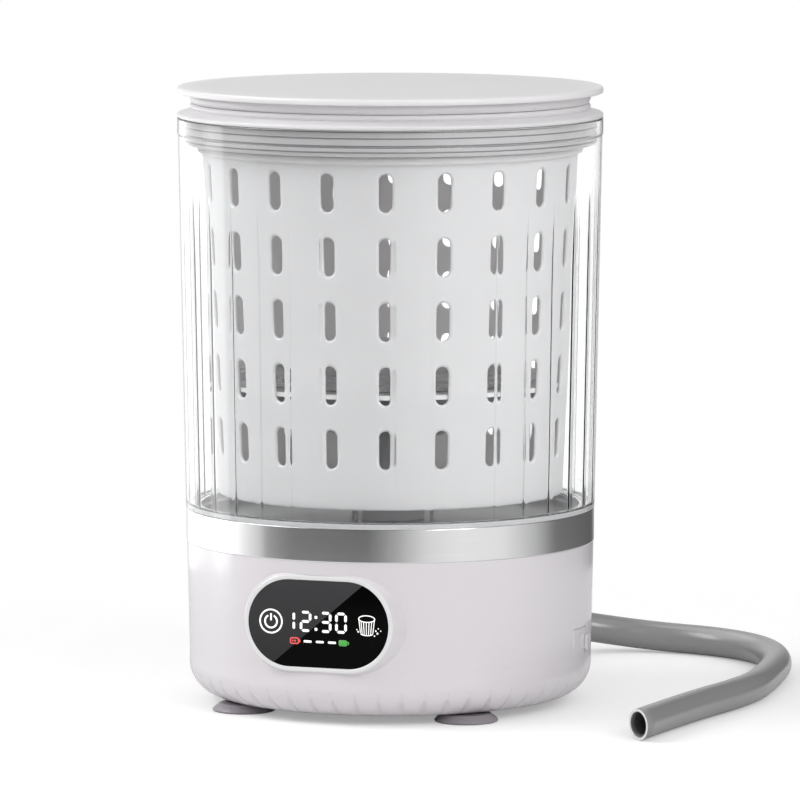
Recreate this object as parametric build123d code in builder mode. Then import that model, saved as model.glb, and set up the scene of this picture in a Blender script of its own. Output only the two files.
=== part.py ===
from build123d import *
import os
from math import cos, degrees, pi, radians, sin, sqrt, tan

os.makedirs("parts", exist_ok=True)

# Millimetres. The origin is on the floor below the middle, +Z is up and the display faces -Y.

# Heights of the outer stack, from the floor up
foot_height = 5.2
base_height = 91.0
band_height = 19.6
tub_height = 229.4
flange_edge = 2.1
flange_rise = 2.6
lower_bead = 3.4
upper_bead = 5.9
lid_disc_thickness = 3.7

# Radii of the outer stack
lid_radius = 125.0
neck_radius = 116.9
bead_bulge = 0.7
tub_foot_radius = 120.4
tub_draft = 4.1
collar_height = 10.0
collar_step = 0.5
band_radius = 120.2
base_top_radius = 119.9
base_draft = 1.5
corner_radius = 19.5
edge_round = 1.7

# Walls
tub_wall = 2.6
base_wall = 2.6
band_wall = 2.2
basket_wall = 2.2
lid_wall = 2.6
lid_skin = 2.9
plate_wall = 3.0

# Clearances
seat_gap = 0.05
running_gap = 0.08
body_gap = 0.35
panel_gap = 0.15
hinge_gap = 0.8

# Levels worked out from the stack
under_level = foot_height
base_top = under_level + base_height
band_top = base_top + band_height
tub_top = band_top + tub_height
lid_low = tub_top + body_gap
flange_top = lid_low + flange_edge
lower_bead_low = flange_top + flange_rise
upper_bead_low = lower_bead_low + lower_bead
lid_disc_low = upper_bead_low + upper_bead
lid_top = lid_disc_low + lid_disc_thickness

# Lid details
skirt_radius = 120.2
skirt_depth = 15.2
seal_band = 0.6
seal_lip = 0.8
seal_lip_depths = (4.0, 8.6, 12.2)

# Tub details
ledge_thickness = 2.6
plug_radius = 114.9
plug_wall = 2.5
tub_floor_drop = 9.8
tub_floor_thickness = 3.0
tub_hub_radius = 22.0
tub_hub_height = 12.0
rib_count = 36
rib_width = 5.0
rib_turn = 1.2
rib_proud = 1.3
rib_top_gap = 44.0
level_mark_length = 34.0
level_mark_height = 2.0
level_mark_depth = 32.0
sump_radius = 92.0
sump_bore = 6.5
spout_wall = 2.5
spout_length = 11.0

# Base details
opening_radius = 78.0
rebate_radius = 88.0
base_floor = 6.0
ledge_radius = 111.0
upstand_height = 15.8
flute_count = 54
flute_cutter = 14.0
flute_depth = 1.6
flute_tilt = 48.0
air_slot_circle = 30.0
air_slot_count = 6
air_slot_size = (24.0, 3.0)

# Basket
basket_low_gap = 8.8
basket_foot_radius = 101.5
basket_slope = 0.0436
basket_height = 204.8
basket_rim = 2.8
basket_rim_height = 4.0
basket_floor_height = 64.1
basket_floor_thickness = 2.6
slot_columns = 20
slot_rows = 5
slot_length = 22.2
slot_width = 7.9
slot_pitch = 37.2
slot_first_height = 35.0
slot_turn = 0.9
gusset_count = 10
gusset_thickness = 2.0
gusset_drop = 9.0
gusset_start = 9.0
drain_hole_radius = 3.0
drain_hole_circle = 94.5
basket_hub_radius = 13.0
hub_clearance = 3.0
hub_flare = 3.0

# Wash plate
wash_plate_radius = 86.0
wash_plate_thickness = 2.5
vane_count = 6
vane_thickness = 5.0
vane_height = 12.0
ring_rib_radii = (42.0, 58.0, 74.0)
ring_rib_width = 2.0
ring_rib_height = 2.4
cap_radius = 24.0
cap_height = 20.1
vane_start = cap_radius - 4.0
vane_end = wash_plate_radius - 3.0
plate_screw_radius = 2.0
plate_screw_length = 11.0
plate_screw_head = (5.5, 3.0)

# Shafts, bearings and seal
wash_shaft_radius = 5.0
spin_tube_radius = 8.0
bearing_radius = 13.0
small_bearing_radius = 9.0
bearing_width = 8.0
seal_width = 7.0
nut_height = 6.0
nut_radius = 13.0

# Gear pair
gear_module = 1.5
gear_teeth = 40
pinion_teeth = 12
gear_width = 8.0
gear_backlash = 0.35
gear_low = 77.0
gear_hub_radius = 10.0
gear_hub_height = 2.0
web_hole_radius = 5.0
web_hole_circle = 19.0
web_hole_count = 5
centre_distance = gear_module * (gear_teeth + pinion_teeth) / 2

# Gear case
case_low = 66.0
case_wall = 2.5
case_high = 90.0
case_room = 3.0
cover_plate = 3.0
bearing_step = 1.0
lower_bearing_top = gear_low - 1.6

# Motor
motor_radius = 21.0
motor_length = 46.0
motor_shaft_radius = 2.5
motor_boss_radius = 8.0
mount_plate = 4.0

# Chassis plate
chassis_thickness = 3.0
chassis_low = base_top + 1.3
chassis_rib_radius = 62.0
chassis_rib_width = 2.0
chassis_post_radius = 3.5
chassis_post_places = ((26.0, 0), (-13.0, 25.0), (-13.0, -25.0), (-46.0, 0))
chassis_top = chassis_low + chassis_thickness
gasket_thickness = 1.5
tub_screw_circle = 100.0
tub_screw_count = 6

# Display on the front
display_height = 60.2
display_length = 87.5
display_width = 52.4
display_reach = 119.2
bezel_width = 2.1
bezel_proud = 0.8
bezel_bevel = 0.4
glass_thickness = 2.0
glass_proud = 0.5
pad_depth = 7.2
window_inset = 5.0
boss_depth = 16.0
boss_flare = 6.0
board_thickness = 1.6
board_length = 82.0
board_width = 46.0
board_room = 8.0
digit_block = (62.0, 26.0)

# Inlet with its cover on the right side
port_height = 38.5
port_length = 23.0
port_width = 19.0
port_corner = 4.0
cover_thickness = 2.0
cover_barrel_radius = 2.2
hinge_pin_radius = 0.8
tab_length = 7.5
tab_width = 9.4
tab_proud = 2.1
tab_overlap = 4.5
tab_corner = 2.0
port_block_depth = 12.7
port_recess_depth = 7.5
socket_size = (12.5, 9.0, 7.2)

# Electronics and battery
control_board_size = (44.0, 56.0, 1.6)
control_board_start = 54.0
post_radius = 3.0
post_places = ((58.0, -22.0), (58.0, 22.0), (72.0, -16.0), (72.0, 16.0))
capacitor_radius = 5.0
capacitor_places = ((62.0, -18.0), (62.0, 18.0))
heat_sink_place = (74.0, 0)
heat_sink_side = 14.0
component_height = 9.0
cell_radius = 9.2
cell_length = 65.0
cell_pitch = 19.5
battery_circle = 70.0
tray_margin = 2.6
tray_floor = 3.0
fence_height = 12.0

# Water outlet at the back and the hose
outlet_height = 35.0
outlet_bore = 6.5
outlet_reach = 124.5
outlet_neck_radius = 10.8
outlet_flange_radius = 14.0
outlet_flange = 3.0
outlet_sleeve_radius = 11.0
outlet_sleeve = 7.3
hose_grip = 6.0
elbow_bend = 18.0
hose_radius = 9.0
hose_bore = 7.3
floor_rest = hose_radius + 0.1

# Feet and screws
foot_circle = 96.3
foot_radius = 18.75
foot_count = 4
foot_start = 47.5
foot_edge = 0.9
foot_lip = 4.8
foot_neck_radius = 5.2
foot_neck_height = 0.4
foot_flare = 4.6
foot_sole = 1.2
foot_seat = 3.0
screw_radius = 1.5
screw_head_radius = 2.8
screw_head_height = 1.5
cover_screw_circle = 83.0
cover_screw_count = 6
screw_boss_radius = 4.0
screw_boss_height = 7.0


def section(*points):
    """Half section of a round piece from its (radius, height) points."""
    with BuildSketch(Plane.XZ) as outline:
        with BuildLine():
            Polyline(*points, close=True)
        make_face()
    return outline.sketch


def ring(inner, outer, low, high):
    """Half section of a plain ring."""
    return section((inner, low), (outer, low), (outer, high), (inner, high))


def base_radius(height):
    """Outer radius of the base above its rounded corner."""
    corner_top = under_level + corner_radius
    share = (height - corner_top) / (base_top - corner_top)
    return base_top_radius - base_draft * (1 - share)


def tub_radius(height):
    """Outer radius of the tub's drafted wall."""
    return tub_foot_radius + tub_draft * (height - band_top) / (tub_height - collar_height)


def basket_radius(height):
    """Outer radius of the basket's drafted wall."""
    return basket_foot_radius + basket_slope * (height - basket_low)


def gear_outline(teeth):
    """Closed outline of a spur gear with three-point flanks and a tooth on +X."""
    pitch = gear_module * teeth / 2
    half_tooth = degrees((pi * gear_module / 4 - gear_backlash / 2) / pitch)
    levels = (
        (pitch - 1.25 * gear_module, 1.55),
        (pitch, 1.0),
        (pitch + gear_module, 0.42),
    )
    points = []
    for tooth in range(teeth):
        middle = 360 * tooth / teeth
        for radius, share in levels:
            angle = radians(middle - half_tooth * share)
            points.append((radius * cos(angle), radius * sin(angle)))
        for radius, share in reversed(levels):
            angle = radians(middle + half_tooth * share)
            points.append((radius * cos(angle), radius * sin(angle)))
    return points


# Levels and radii of inner pieces
tub_plug_low = chassis_top + gasket_thickness
ledge_top = band_top + ledge_thickness
tub_floor_low = band_top - tub_floor_drop
tub_floor_top = tub_floor_low + tub_floor_thickness
tub_hub_top = tub_floor_top + tub_hub_height
bearing_seat = bearing_radius + seat_gap
basket_low = band_top + basket_low_gap
basket_top = basket_low + basket_height
basket_floor_low = basket_low + basket_floor_height
basket_floor_top = basket_floor_low + basket_floor_thickness
wash_plate_low = basket_floor_top + 0.6
wash_plate_top = wash_plate_low + wash_plate_thickness
cap_top = wash_plate_low + cap_height
cover_top = case_high + cover_plate
motor_top = case_low - mount_plate
rebate_top = under_level + plate_wall
base_floor_top = under_level + base_floor
glass_face = display_reach + glass_proud
pad_face = display_reach - pad_depth
outlet_seat = outlet_reach - outlet_sleeve
board_low = port_height - socket_size[2] / 2 - control_board_size[2]
hinge_x = sqrt(base_radius(port_height) ** 2 - (port_length / 2) ** 2) + 0.1
hinge_x = hinge_x - cover_barrel_radius
hinge_y = cover_barrel_radius - port_length / 2

# Planes that carry sketches
front = Plane(origin=(0, 0, display_height), x_dir=(1, 0, 0), z_dir=(0, -1, 0))
side = Plane(origin=(0, 0, port_height), x_dir=(0, 1, 0), z_dir=(1, 0, 0))
back = Plane(origin=(0, 0, outlet_height), x_dir=(-1, 0, 0), z_dir=(0, 1, 0))
motor_centre = (-centre_distance, 0)

# Lid cap: the thin disc with the upper bead of the neck
with BuildPart() as lid_cap:
    revolve(
        section(
            (0, lid_top),
            (lid_radius, lid_top),
            (lid_radius, lid_disc_low),
            (neck_radius, lid_disc_low),
            (neck_radius, upper_bead_low + body_gap),
            (neck_radius - lid_wall, upper_bead_low + body_gap),
            (neck_radius - lid_wall, lid_top - lid_skin),
            (0, lid_top - lid_skin),
        ),
        axis=Axis.Z,
    )
    rim_edges = lid_cap.edges().filter_by(GeomType.CIRCLE).group_by(SortBy.RADIUS)[-1]
    fillet(rim_edges, edge_round)
    with BuildSketch(Plane.XZ):
        with BuildLine():
            bead_line = Line(
                (neck_radius - 1, upper_bead_low + body_gap + 0.3),
                (neck_radius - 1, lid_disc_low - 0.3),
            )
            ThreePointArc(
                bead_line @ 1,
                (neck_radius + bead_bulge, (upper_bead_low + lid_disc_low) / 2),
                bead_line @ 0,
            )
        make_face()
    revolve(axis=Axis.Z)
lid_cap.part.label = "lid_cap"

# Lid ring: lower bead, flange that covers the tub's edge, and skirt inside the tub
with BuildPart() as lid_ring:
    revolve(
        section(
            (neck_radius - lid_wall, upper_bead_low),
            (neck_radius, upper_bead_low),
            (neck_radius, lower_bead_low),
            (lid_radius, flange_top),
            (lid_radius, lid_low),
            (skirt_radius, lid_low),
            (skirt_radius, tub_top - skirt_depth),
            (skirt_radius - lid_wall, tub_top - skirt_depth),
            (skirt_radius - lid_wall, lid_low),
            (neck_radius - lid_wall, lower_bead_low - 1.0),
        ),
        axis=Axis.Z,
    )
    with BuildSketch(Plane.XZ):
        with BuildLine():
            bead_line = Line(
                (neck_radius - 1, lower_bead_low + 0.2),
                (neck_radius - 1, upper_bead_low - 0.2),
            )
            ThreePointArc(
                bead_line @ 1,
                (neck_radius + bead_bulge, (lower_bead_low + upper_bead_low) / 2),
                bead_line @ 0,
            )
        make_face()
    revolve(axis=Axis.Z)
lid_ring.part.label = "lid_ring"

# Lid seal: a soft band round the skirt with three lips
with BuildPart() as lid_seal:
    seal_inner = skirt_radius + seat_gap
    seal_outer = skirt_radius + seal_band
    seal_low = tub_top - skirt_depth + 0.8
    revolve(ring(seal_inner, seal_outer, seal_low, lid_low - 1.0), axis=Axis.Z)
    for lip_depth in seal_lip_depths:
        lip_level = tub_top - lip_depth
        revolve(
            section(
                (seal_outer - 0.2, lip_level + 0.9),
                (seal_outer + seal_lip, lip_level + 0.3),
                (seal_outer + seal_lip, lip_level - 0.3),
                (seal_outer - 0.2, lip_level - 0.9),
            ),
            axis=Axis.Z,
        )
lid_seal.part.label = "lid_seal"

# One upright rib of the tub's inner wall, as a lens-shaped bar along the draft
inner_slope = tub_draft / (tub_height - collar_height)
rib_foot = Vector(tub_radius(ledge_top) - tub_wall, 0, ledge_top - 0.5)
rib_direction = Vector(inner_slope, 0, 1).normalized()
rib_plane = Plane(origin=rib_foot, x_dir=(0, 1, 0), z_dir=rib_direction)
with BuildPart() as tub_rib:
    with BuildSketch(rib_plane):
        with BuildLine():
            rib_base = Line((-rib_width / 2, -0.4), (rib_width / 2, -0.4))
            Polyline(
                rib_base @ 1,
                (rib_width / 10, rib_proud),
                (-rib_width / 10, rib_proud),
                rib_base @ 0,
            )
        make_face()
    extrude(amount=tub_height - rib_top_gap)

# Tub: clear drafted wall with its ledge on the band, its plug, collar, ribs and level mark
with BuildPart() as tub:
    spring = tub_top - collar_height
    revolve(
        section(
            (plug_radius - plug_wall, tub_floor_top),
            (plug_radius, tub_floor_top),
            (plug_radius, band_top),
            (tub_foot_radius, band_top),
            (tub_radius(spring), spring),
            (tub_radius(spring) + collar_step, spring + collar_step),
            (tub_radius(spring) + collar_step, tub_top),
            (tub_radius(tub_top) - tub_wall, tub_top),
            (tub_radius(ledge_top) - tub_wall, ledge_top),
            (plug_radius - plug_wall, ledge_top),
        ),
        axis=Axis.Z,
    )
    with PolarLocations(0, rib_count, rib_turn):
        add(tub_rib.part)
    mark_plane = front.offset(tub_radius(tub_top - level_mark_depth) - 0.3)
    mark_plane.origin = mark_plane.origin + Vector(0, 0, tub_top - level_mark_depth - display_height)
    with BuildSketch(mark_plane):
        Rectangle(level_mark_length, level_mark_height)
    extrude(amount=collar_step + 0.2)
tub.part.label = "tub"

# Tub base: floor of the tub with its foot ring, sump spout and screw bosses
with BuildPart() as tub_base:
    revolve(
        section(
            (tub_hub_radius, tub_floor_low),
            (plug_radius - plug_wall, tub_floor_low),
            (plug_radius - plug_wall, tub_plug_low),
            (plug_radius, tub_plug_low),
            (plug_radius, tub_floor_top),
            (tub_hub_radius, tub_floor_top),
        ),
        axis=Axis.Z,
    )
    with BuildSketch(Plane.XY.offset(tub_floor_low - spout_length)):
        with Locations((0, sump_radius)):
            Circle(sump_bore + spout_wall)
    extrude(amount=spout_length + 0.5)
    with BuildSketch(Plane.XY.offset(chassis_top)):
        with PolarLocations(tub_screw_circle, tub_screw_count):
            Circle(screw_boss_radius)
    extrude(until=Until.NEXT)
    with BuildSketch(Plane.XY.offset(tub_floor_low - spout_length)):
        with Locations((0, sump_radius)):
            Circle(sump_bore)
    extrude(amount=spout_length + tub_floor_thickness, mode=Mode.SUBTRACT)
    with BuildSketch(Plane.XY.offset(chassis_top)):
        with PolarLocations(tub_screw_circle, tub_screw_count):
            Circle(screw_radius + seat_gap)
    extrude(amount=screw_boss_height, mode=Mode.SUBTRACT)
tub_base.part.label = "tub_base"

# Tub hub: upright tube in the middle of the floor, with the seats of bearing and seal
with BuildPart() as tub_hub:
    revolve(
        section(
            (bearing_seat, tub_plug_low),
            (tub_hub_radius, tub_plug_low),
            (tub_hub_radius, tub_hub_top),
            (bearing_seat, tub_hub_top),
            (bearing_seat, tub_hub_top - seal_width),
            (spin_tube_radius + 1.5, tub_hub_top - seal_width),
            (spin_tube_radius + 1.5, tub_plug_low + bearing_width),
            (bearing_seat, tub_plug_low + bearing_width),
        ),
        axis=Axis.Z,
    )
tub_hub.part.label = "tub_hub"

# Shaft seal in the top of the tub's hub
with BuildPart() as shaft_seal:
    seal_top = tub_hub_top - 0.5
    revolve(
        section(
            (bearing_radius, tub_hub_top - seal_width),
            (bearing_radius, seal_top),
            (bearing_radius - 2.0, seal_top),
            (spin_tube_radius + running_gap, seal_top - 2.5),
            (spin_tube_radius + running_gap, seal_top - 3.5),
            (spin_tube_radius + 1.6, tub_hub_top - seal_width),
        ),
        axis=Axis.Z,
    )
shaft_seal.part.label = "shaft_seal"

# Gasket under the tub's plug
with BuildPart() as tub_gasket:
    revolve(ring(plug_radius - plug_wall - 0.6, plug_radius, chassis_top, tub_plug_low), axis=Axis.Z)
tub_gasket.part.label = "tub_gasket"

# Silver band round the joint of tub and base
with BuildPart() as trim_ring:
    revolve(ring(band_radius - band_wall, band_radius, base_top, band_top), axis=Axis.Z)
    outer_edges = trim_ring.edges().filter_by(GeomType.CIRCLE).group_by(SortBy.RADIUS)[-1]
    chamfer(outer_edges, 0.4)
trim_ring.part.label = "trim_ring"

# One flute cutter of the base's lower corner
corner_top = under_level + corner_radius
corner_foot = base_radius(corner_top) - corner_radius
corner_centre = Vector(corner_foot, 0, corner_top)
flute_normal = Vector(cos(radians(flute_tilt)), 0, -sin(radians(flute_tilt)))
flute_axis = Vector(sin(radians(flute_tilt)), 0, cos(radians(flute_tilt)))
flute_middle = corner_centre + flute_normal * (corner_radius - flute_depth + flute_cutter)
flute_plane = Plane(origin=flute_middle - flute_axis * corner_radius, z_dir=flute_axis)
with BuildPart() as flute:
    with BuildSketch(flute_plane):
        Circle(flute_cutter)
    extrude(amount=2 * corner_radius)

# Raised boss of the display, flared towards the base's skin
boss_length = display_length + 2 * bezel_width
boss_width = display_width + 2 * bezel_width
with BuildPart() as display_boss:
    with BuildSketch(front.offset(display_reach)):
        SlotOverall(boss_length, boss_width)
    with BuildSketch(front.offset(display_reach - boss_depth)):
        SlotOverall(boss_length + 2 * boss_flare, boss_width + 2 * boss_flare)
    loft(ruled=True)

# Base shell: housing with fluted corner, display boss, inlet recess and outlet seat
with BuildPart() as base_shell:
    diagonal = corner_radius * sqrt(0.5)
    with BuildSketch(Plane.XZ):
        with BuildLine():
            lower_arc = ThreePointArc(
                (corner_foot, under_level),
                (corner_foot + diagonal, corner_top - diagonal),
                (base_radius(corner_top), corner_top),
            )
            Polyline(
                lower_arc @ 1,
                (base_top_radius, base_top),
                (0, base_top),
                (0, under_level),
                lower_arc @ 0,
            )
        make_face()
    revolve(axis=Axis.Z)
    add(display_boss.part)
    with PolarLocations(0, flute_count):
        add(flute.part, mode=Mode.SUBTRACT)
    inner_corner = base_radius(corner_top) - base_wall
    revolve(
        section(
            (0, base_floor_top),
            (corner_foot, base_floor_top),
            (inner_corner - 4.0, corner_top - 7.0),
            (inner_corner, corner_top),
            (base_top_radius - base_wall, base_top - 8.0),
            (ledge_radius, base_top - 1.0),
            (ledge_radius, base_top + 1.0),
            (0, base_top + 1.0),
        ),
        axis=Axis.Z,
        mode=Mode.SUBTRACT,
    )
    upstand_outer = band_radius - band_wall - body_gap
    upstand_inner = plug_radius + body_gap
    revolve(
        section(
            (ledge_radius, base_top - 2.0),
            (upstand_outer, base_top - 2.0),
            (upstand_outer, base_top + upstand_height),
            (upstand_inner, base_top + upstand_height),
            (upstand_inner, chassis_low),
            (ledge_radius, chassis_low),
        ),
        axis=Axis.Z,
    )
    with BuildSketch(Plane.XY.offset(under_level)):
        Circle(opening_radius)
    extrude(amount=base_floor, mode=Mode.SUBTRACT)
    with BuildSketch(Plane.XY.offset(under_level)):
        Circle(rebate_radius)
    extrude(amount=plate_wall, mode=Mode.SUBTRACT)
    with BuildSketch(Plane.XY.offset(rebate_top)):
        with PolarLocations(cover_screw_circle, cover_screw_count):
            Circle(screw_boss_radius)
    extrude(amount=base_floor - plate_wall + screw_boss_height)
    with BuildSketch(Plane.XY.offset(under_level + 1.0)):
        with PolarLocations(foot_circle, foot_count, foot_start):
            Circle(screw_boss_radius)
    extrude(amount=base_floor + screw_boss_height)
    with BuildSketch(Plane.XY.offset(under_level)):
        with PolarLocations(cover_screw_circle, cover_screw_count):
            Circle(screw_radius + seat_gap)
        with PolarLocations(foot_circle, foot_count, foot_start):
            Circle(screw_radius + seat_gap)
    extrude(amount=base_floor + screw_boss_height - 2.0, mode=Mode.SUBTRACT)
    with BuildSketch(front.offset(display_reach)):
        SlotOverall(boss_length, boss_width)
    extrude(amount=2 * glass_thickness, mode=Mode.SUBTRACT)
    with BuildSketch(front.offset(pad_face)):
        SlotOverall(boss_length, boss_width)
    extrude(amount=pad_depth - 1.0)
    with BuildSketch(front.offset(pad_face - board_room)):
        SlotOverall(board_length + 2 * body_gap, board_width + 2 * body_gap)
    extrude(amount=board_room, mode=Mode.SUBTRACT)
    with BuildSketch(front.offset(pad_face)):
        SlotOverall(display_length - 2 * window_inset, display_width - 2 * window_inset)
    extrude(amount=pad_depth, mode=Mode.SUBTRACT)
    with BuildSketch(front.offset(glass_face - glass_thickness)):
        SlotOverall(display_length + 2 * panel_gap, display_width + 2 * panel_gap)
    extrude(amount=glass_thickness, mode=Mode.SUBTRACT)
    block_low = base_radius(port_height) - port_block_depth
    with BuildSketch(side.offset(block_low)):
        Rectangle(port_length + 7.0, port_width + 6.0)
    extrude(amount=port_block_depth - base_wall)
    with BuildSketch(side.offset(base_radius(port_height) - port_recess_depth)):
        RectangleRounded(port_length + 2 * body_gap, port_width + 2 * body_gap, port_corner)
        with Locations((-port_length / 4, 0)):
            Rectangle(port_length / 2 + 2 * hinge_gap, port_width + 2 * body_gap)
    extrude(amount=port_recess_depth + 2.0, mode=Mode.SUBTRACT)
    with BuildSketch(side.offset(block_low)):
        Rectangle(socket_size[1] + 1.0, socket_size[2] + 1.0)
    extrude(amount=port_block_depth, mode=Mode.SUBTRACT)
    with BuildSketch(Plane.XY.offset(port_height - port_width / 2 - 2.5)):
        with Locations((hinge_x, hinge_y)):
            Circle(hinge_pin_radius + seat_gap)
    extrude(amount=port_width + 5.0, mode=Mode.SUBTRACT)
    with BuildSketch(back):
        Circle(outlet_neck_radius + seat_gap)
    extrude(amount=lid_radius, mode=Mode.SUBTRACT)
    with BuildSketch(back.offset(outlet_seat)):
        Circle(outlet_flange_radius + panel_gap)
    extrude(amount=outlet_sleeve, mode=Mode.SUBTRACT)
base_shell.part.label = "base_shell"

# Bottom cover: round plate with board posts and air slots
with BuildPart() as bottom_cover:
    with BuildSketch(Plane.XY.offset(under_level)):
        Circle(rebate_radius - body_gap)
        with PolarLocations(cover_screw_circle, cover_screw_count):
            Circle(screw_radius + panel_gap, mode=Mode.SUBTRACT)
        with PolarLocations(air_slot_circle, air_slot_count):
            SlotOverall(*air_slot_size, mode=Mode.SUBTRACT)
    extrude(amount=plate_wall)
    with BuildSketch(Plane.XY.offset(under_level)):
        with PolarLocations(cover_screw_circle, cover_screw_count):
            Circle(screw_head_radius + panel_gap)
    extrude(amount=screw_head_height + 0.1, mode=Mode.SUBTRACT)
    with BuildSketch(Plane.XY.offset(rebate_top)):
        with Locations(*post_places):
            Circle(post_radius)
    extrude(amount=board_low - rebate_top)
bottom_cover.part.label = "bottom_cover"

# Four soft feet with a hollow sole and a recess for the screw
with BuildPart() as foot:
    revolve(
        section(
            (screw_radius + panel_gap, foot_height),
            (screw_radius + panel_gap, foot_seat),
            (screw_head_radius + body_gap, foot_seat),
            (screw_head_radius + body_gap, foot_sole),
            (foot_radius - foot_lip - foot_sole, foot_sole),
            (foot_radius - foot_lip, 0),
            (foot_radius - foot_edge, 0),
            (foot_radius, foot_edge),
            (foot_radius - foot_edge / 2, 2 * foot_edge),
            (foot_radius - foot_flare, foot_height - foot_neck_height),
            (foot_neck_radius, foot_height - foot_neck_height),
            (foot_neck_radius, foot_height),
        ),
        axis=Axis.Z,
    )
with BuildPart() as feet:
    with PolarLocations(foot_circle, foot_count, foot_start):
        add(foot.part)
feet.part.label = "feet"

# Chassis plate that carries the tub and the gear case
with BuildPart() as chassis_plate:
    with BuildSketch(Plane.XY.offset(chassis_low)):
        Circle(plug_radius)
        Circle(bearing_radius + 1.0, mode=Mode.SUBTRACT)
        with Locations((0, sump_radius)):
            Circle(sump_bore + spout_wall + 0.5, mode=Mode.SUBTRACT)
        with PolarLocations(tub_screw_circle, tub_screw_count):
            Circle(screw_radius + panel_gap, mode=Mode.SUBTRACT)
    extrude(amount=chassis_thickness)
    with BuildSketch(Plane.XY.offset(cover_top)):
        Circle(chassis_rib_radius)
        Circle(chassis_rib_radius - chassis_rib_width, mode=Mode.SUBTRACT)
        with Locations(*chassis_post_places):
            Circle(chassis_post_radius)
    extrude(amount=chassis_low - cover_top)
chassis_plate.part.label = "chassis_plate"

# Outline of the gear case: a round over the gear joined to one over the pinion
gear_outer = gear_module * (gear_teeth / 2 + 1)
pinion_outer = gear_module * (pinion_teeth / 2 + 1)


def case_outline(margin):
    """Closed egg-like outline round both gears, that much larger than their tips."""
    with BuildSketch() as outline:
        Circle(gear_outer + margin)
        with Locations(motor_centre):
            Circle(pinion_outer + margin)
        make_hull()
    return outline.sketch


# Gear case: cup with the boss of the lower bearing
with BuildPart() as gear_case:
    extrude(
        Plane.XY.offset(case_low) * case_outline(case_room + case_wall),
        amount=case_high - case_low,
    )
    extrude(
        Plane.XY.offset(case_low + case_wall) * case_outline(case_room),
        amount=case_high - case_low,
        mode=Mode.SUBTRACT,
    )
    with BuildSketch(Plane.XY.offset(case_low)):
        Circle(small_bearing_radius + case_wall)
    extrude(amount=lower_bearing_top - case_low)
    with BuildSketch(Plane.XY.offset(case_low + case_wall)):
        Circle(small_bearing_radius + seat_gap)
    extrude(amount=gear_low, mode=Mode.SUBTRACT)
    with BuildSketch(Plane.XY.offset(case_low)):
        with Locations(motor_centre):
            Circle(motor_boss_radius - 2.0)
    extrude(amount=case_wall, mode=Mode.SUBTRACT)
gear_case.part.label = "gear_case"

# Gear cover with the boss of the spin tube's lower bearing
with BuildPart() as gear_cover:
    extrude(Plane.XY.offset(case_high) * case_outline(case_room + case_wall), amount=cover_plate)
    with BuildSketch(Plane.XY.offset(case_high)):
        Circle(bearing_radius + cover_plate)
    extrude(amount=chassis_low - case_high)
    with BuildSketch(Plane.XY.offset(case_high)):
        Circle(spin_tube_radius + bearing_step)
    extrude(amount=chassis_low - case_high, mode=Mode.SUBTRACT)
    with BuildSketch(Plane.XY.offset(case_high + bearing_step)):
        Circle(bearing_seat)
    extrude(amount=chassis_low - case_high, mode=Mode.SUBTRACT)
gear_cover.part.label = "gear_cover"

# Bearings: two of the spin tube and one of the wash shaft
with BuildPart() as bearings:
    for inner, outer, low, high in (
        (wash_shaft_radius, small_bearing_radius, case_low + case_wall, lower_bearing_top),
        (spin_tube_radius, bearing_radius, case_high + bearing_step, chassis_low),
        (spin_tube_radius, bearing_radius, tub_plug_low, tub_plug_low + bearing_width),
    ):
        middle = (inner + outer) / 2
        revolve(
            section(
                (inner + running_gap, low),
                (middle - 1.0, low),
                (middle - 1.0, low + 0.6),
                (middle + 1.0, low + 0.6),
                (middle + 1.0, low),
                (outer, low),
                (outer, high),
                (inner + running_gap, high),
            ),
            axis=Axis.Z,
        )
bearings.part.label = "bearings"

# Motor can with its front boss and blind bore
with BuildPart() as motor_can:
    with BuildSketch(Plane.XY.offset(motor_top - motor_length)):
        with Locations(motor_centre):
            Circle(motor_radius)
    extrude(amount=motor_length)
    chamfer(motor_can.edges().group_by(Axis.Z)[0], 1.5)
    with BuildSketch(Plane.XY.offset(motor_top)):
        with Locations(motor_centre):
            Circle(motor_boss_radius - seat_gap)
    extrude(amount=mount_plate - 1.0)
    with BuildSketch(Plane.XY.offset(motor_top - motor_length / 3)):
        with Locations(motor_centre):
            Circle(motor_shaft_radius + running_gap)
    extrude(amount=motor_length, mode=Mode.SUBTRACT)
motor_can.part.label = "motor_can"

# Motor mount: plate between the motor and the gear case
with BuildPart() as motor_mount:
    with BuildSketch(Plane.XY.offset(motor_top)):
        with Locations(motor_centre):
            Circle(motor_radius + 2.0)
            Circle(motor_boss_radius, mode=Mode.SUBTRACT)
    extrude(amount=mount_plate)
motor_mount.part.label = "motor_mount"

# Motor shaft
with BuildPart() as motor_shaft:
    shaft_low = motor_top - motor_length / 3 + body_gap
    with BuildSketch(Plane.XY.offset(shaft_low)):
        with Locations(motor_centre):
            Circle(motor_shaft_radius)
    extrude(amount=gear_low + gear_width + gear_hub_height - shaft_low)
motor_shaft.part.label = "motor_shaft"

# Pinion, turned so that a gap of it faces the gear's tooth on -X
with BuildPart() as pinion:
    with BuildSketch(Plane.XY.offset(gear_low - 0.5)):
        with Locations(Location((-centre_distance, 0, 0), (0, 0, 1), 180 / pinion_teeth)):
            Polygon(*gear_outline(pinion_teeth), align=None)
            Circle(motor_shaft_radius + seat_gap, mode=Mode.SUBTRACT)
    extrude(amount=gear_width + 1.0)
pinion.part.label = "pinion"

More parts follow.
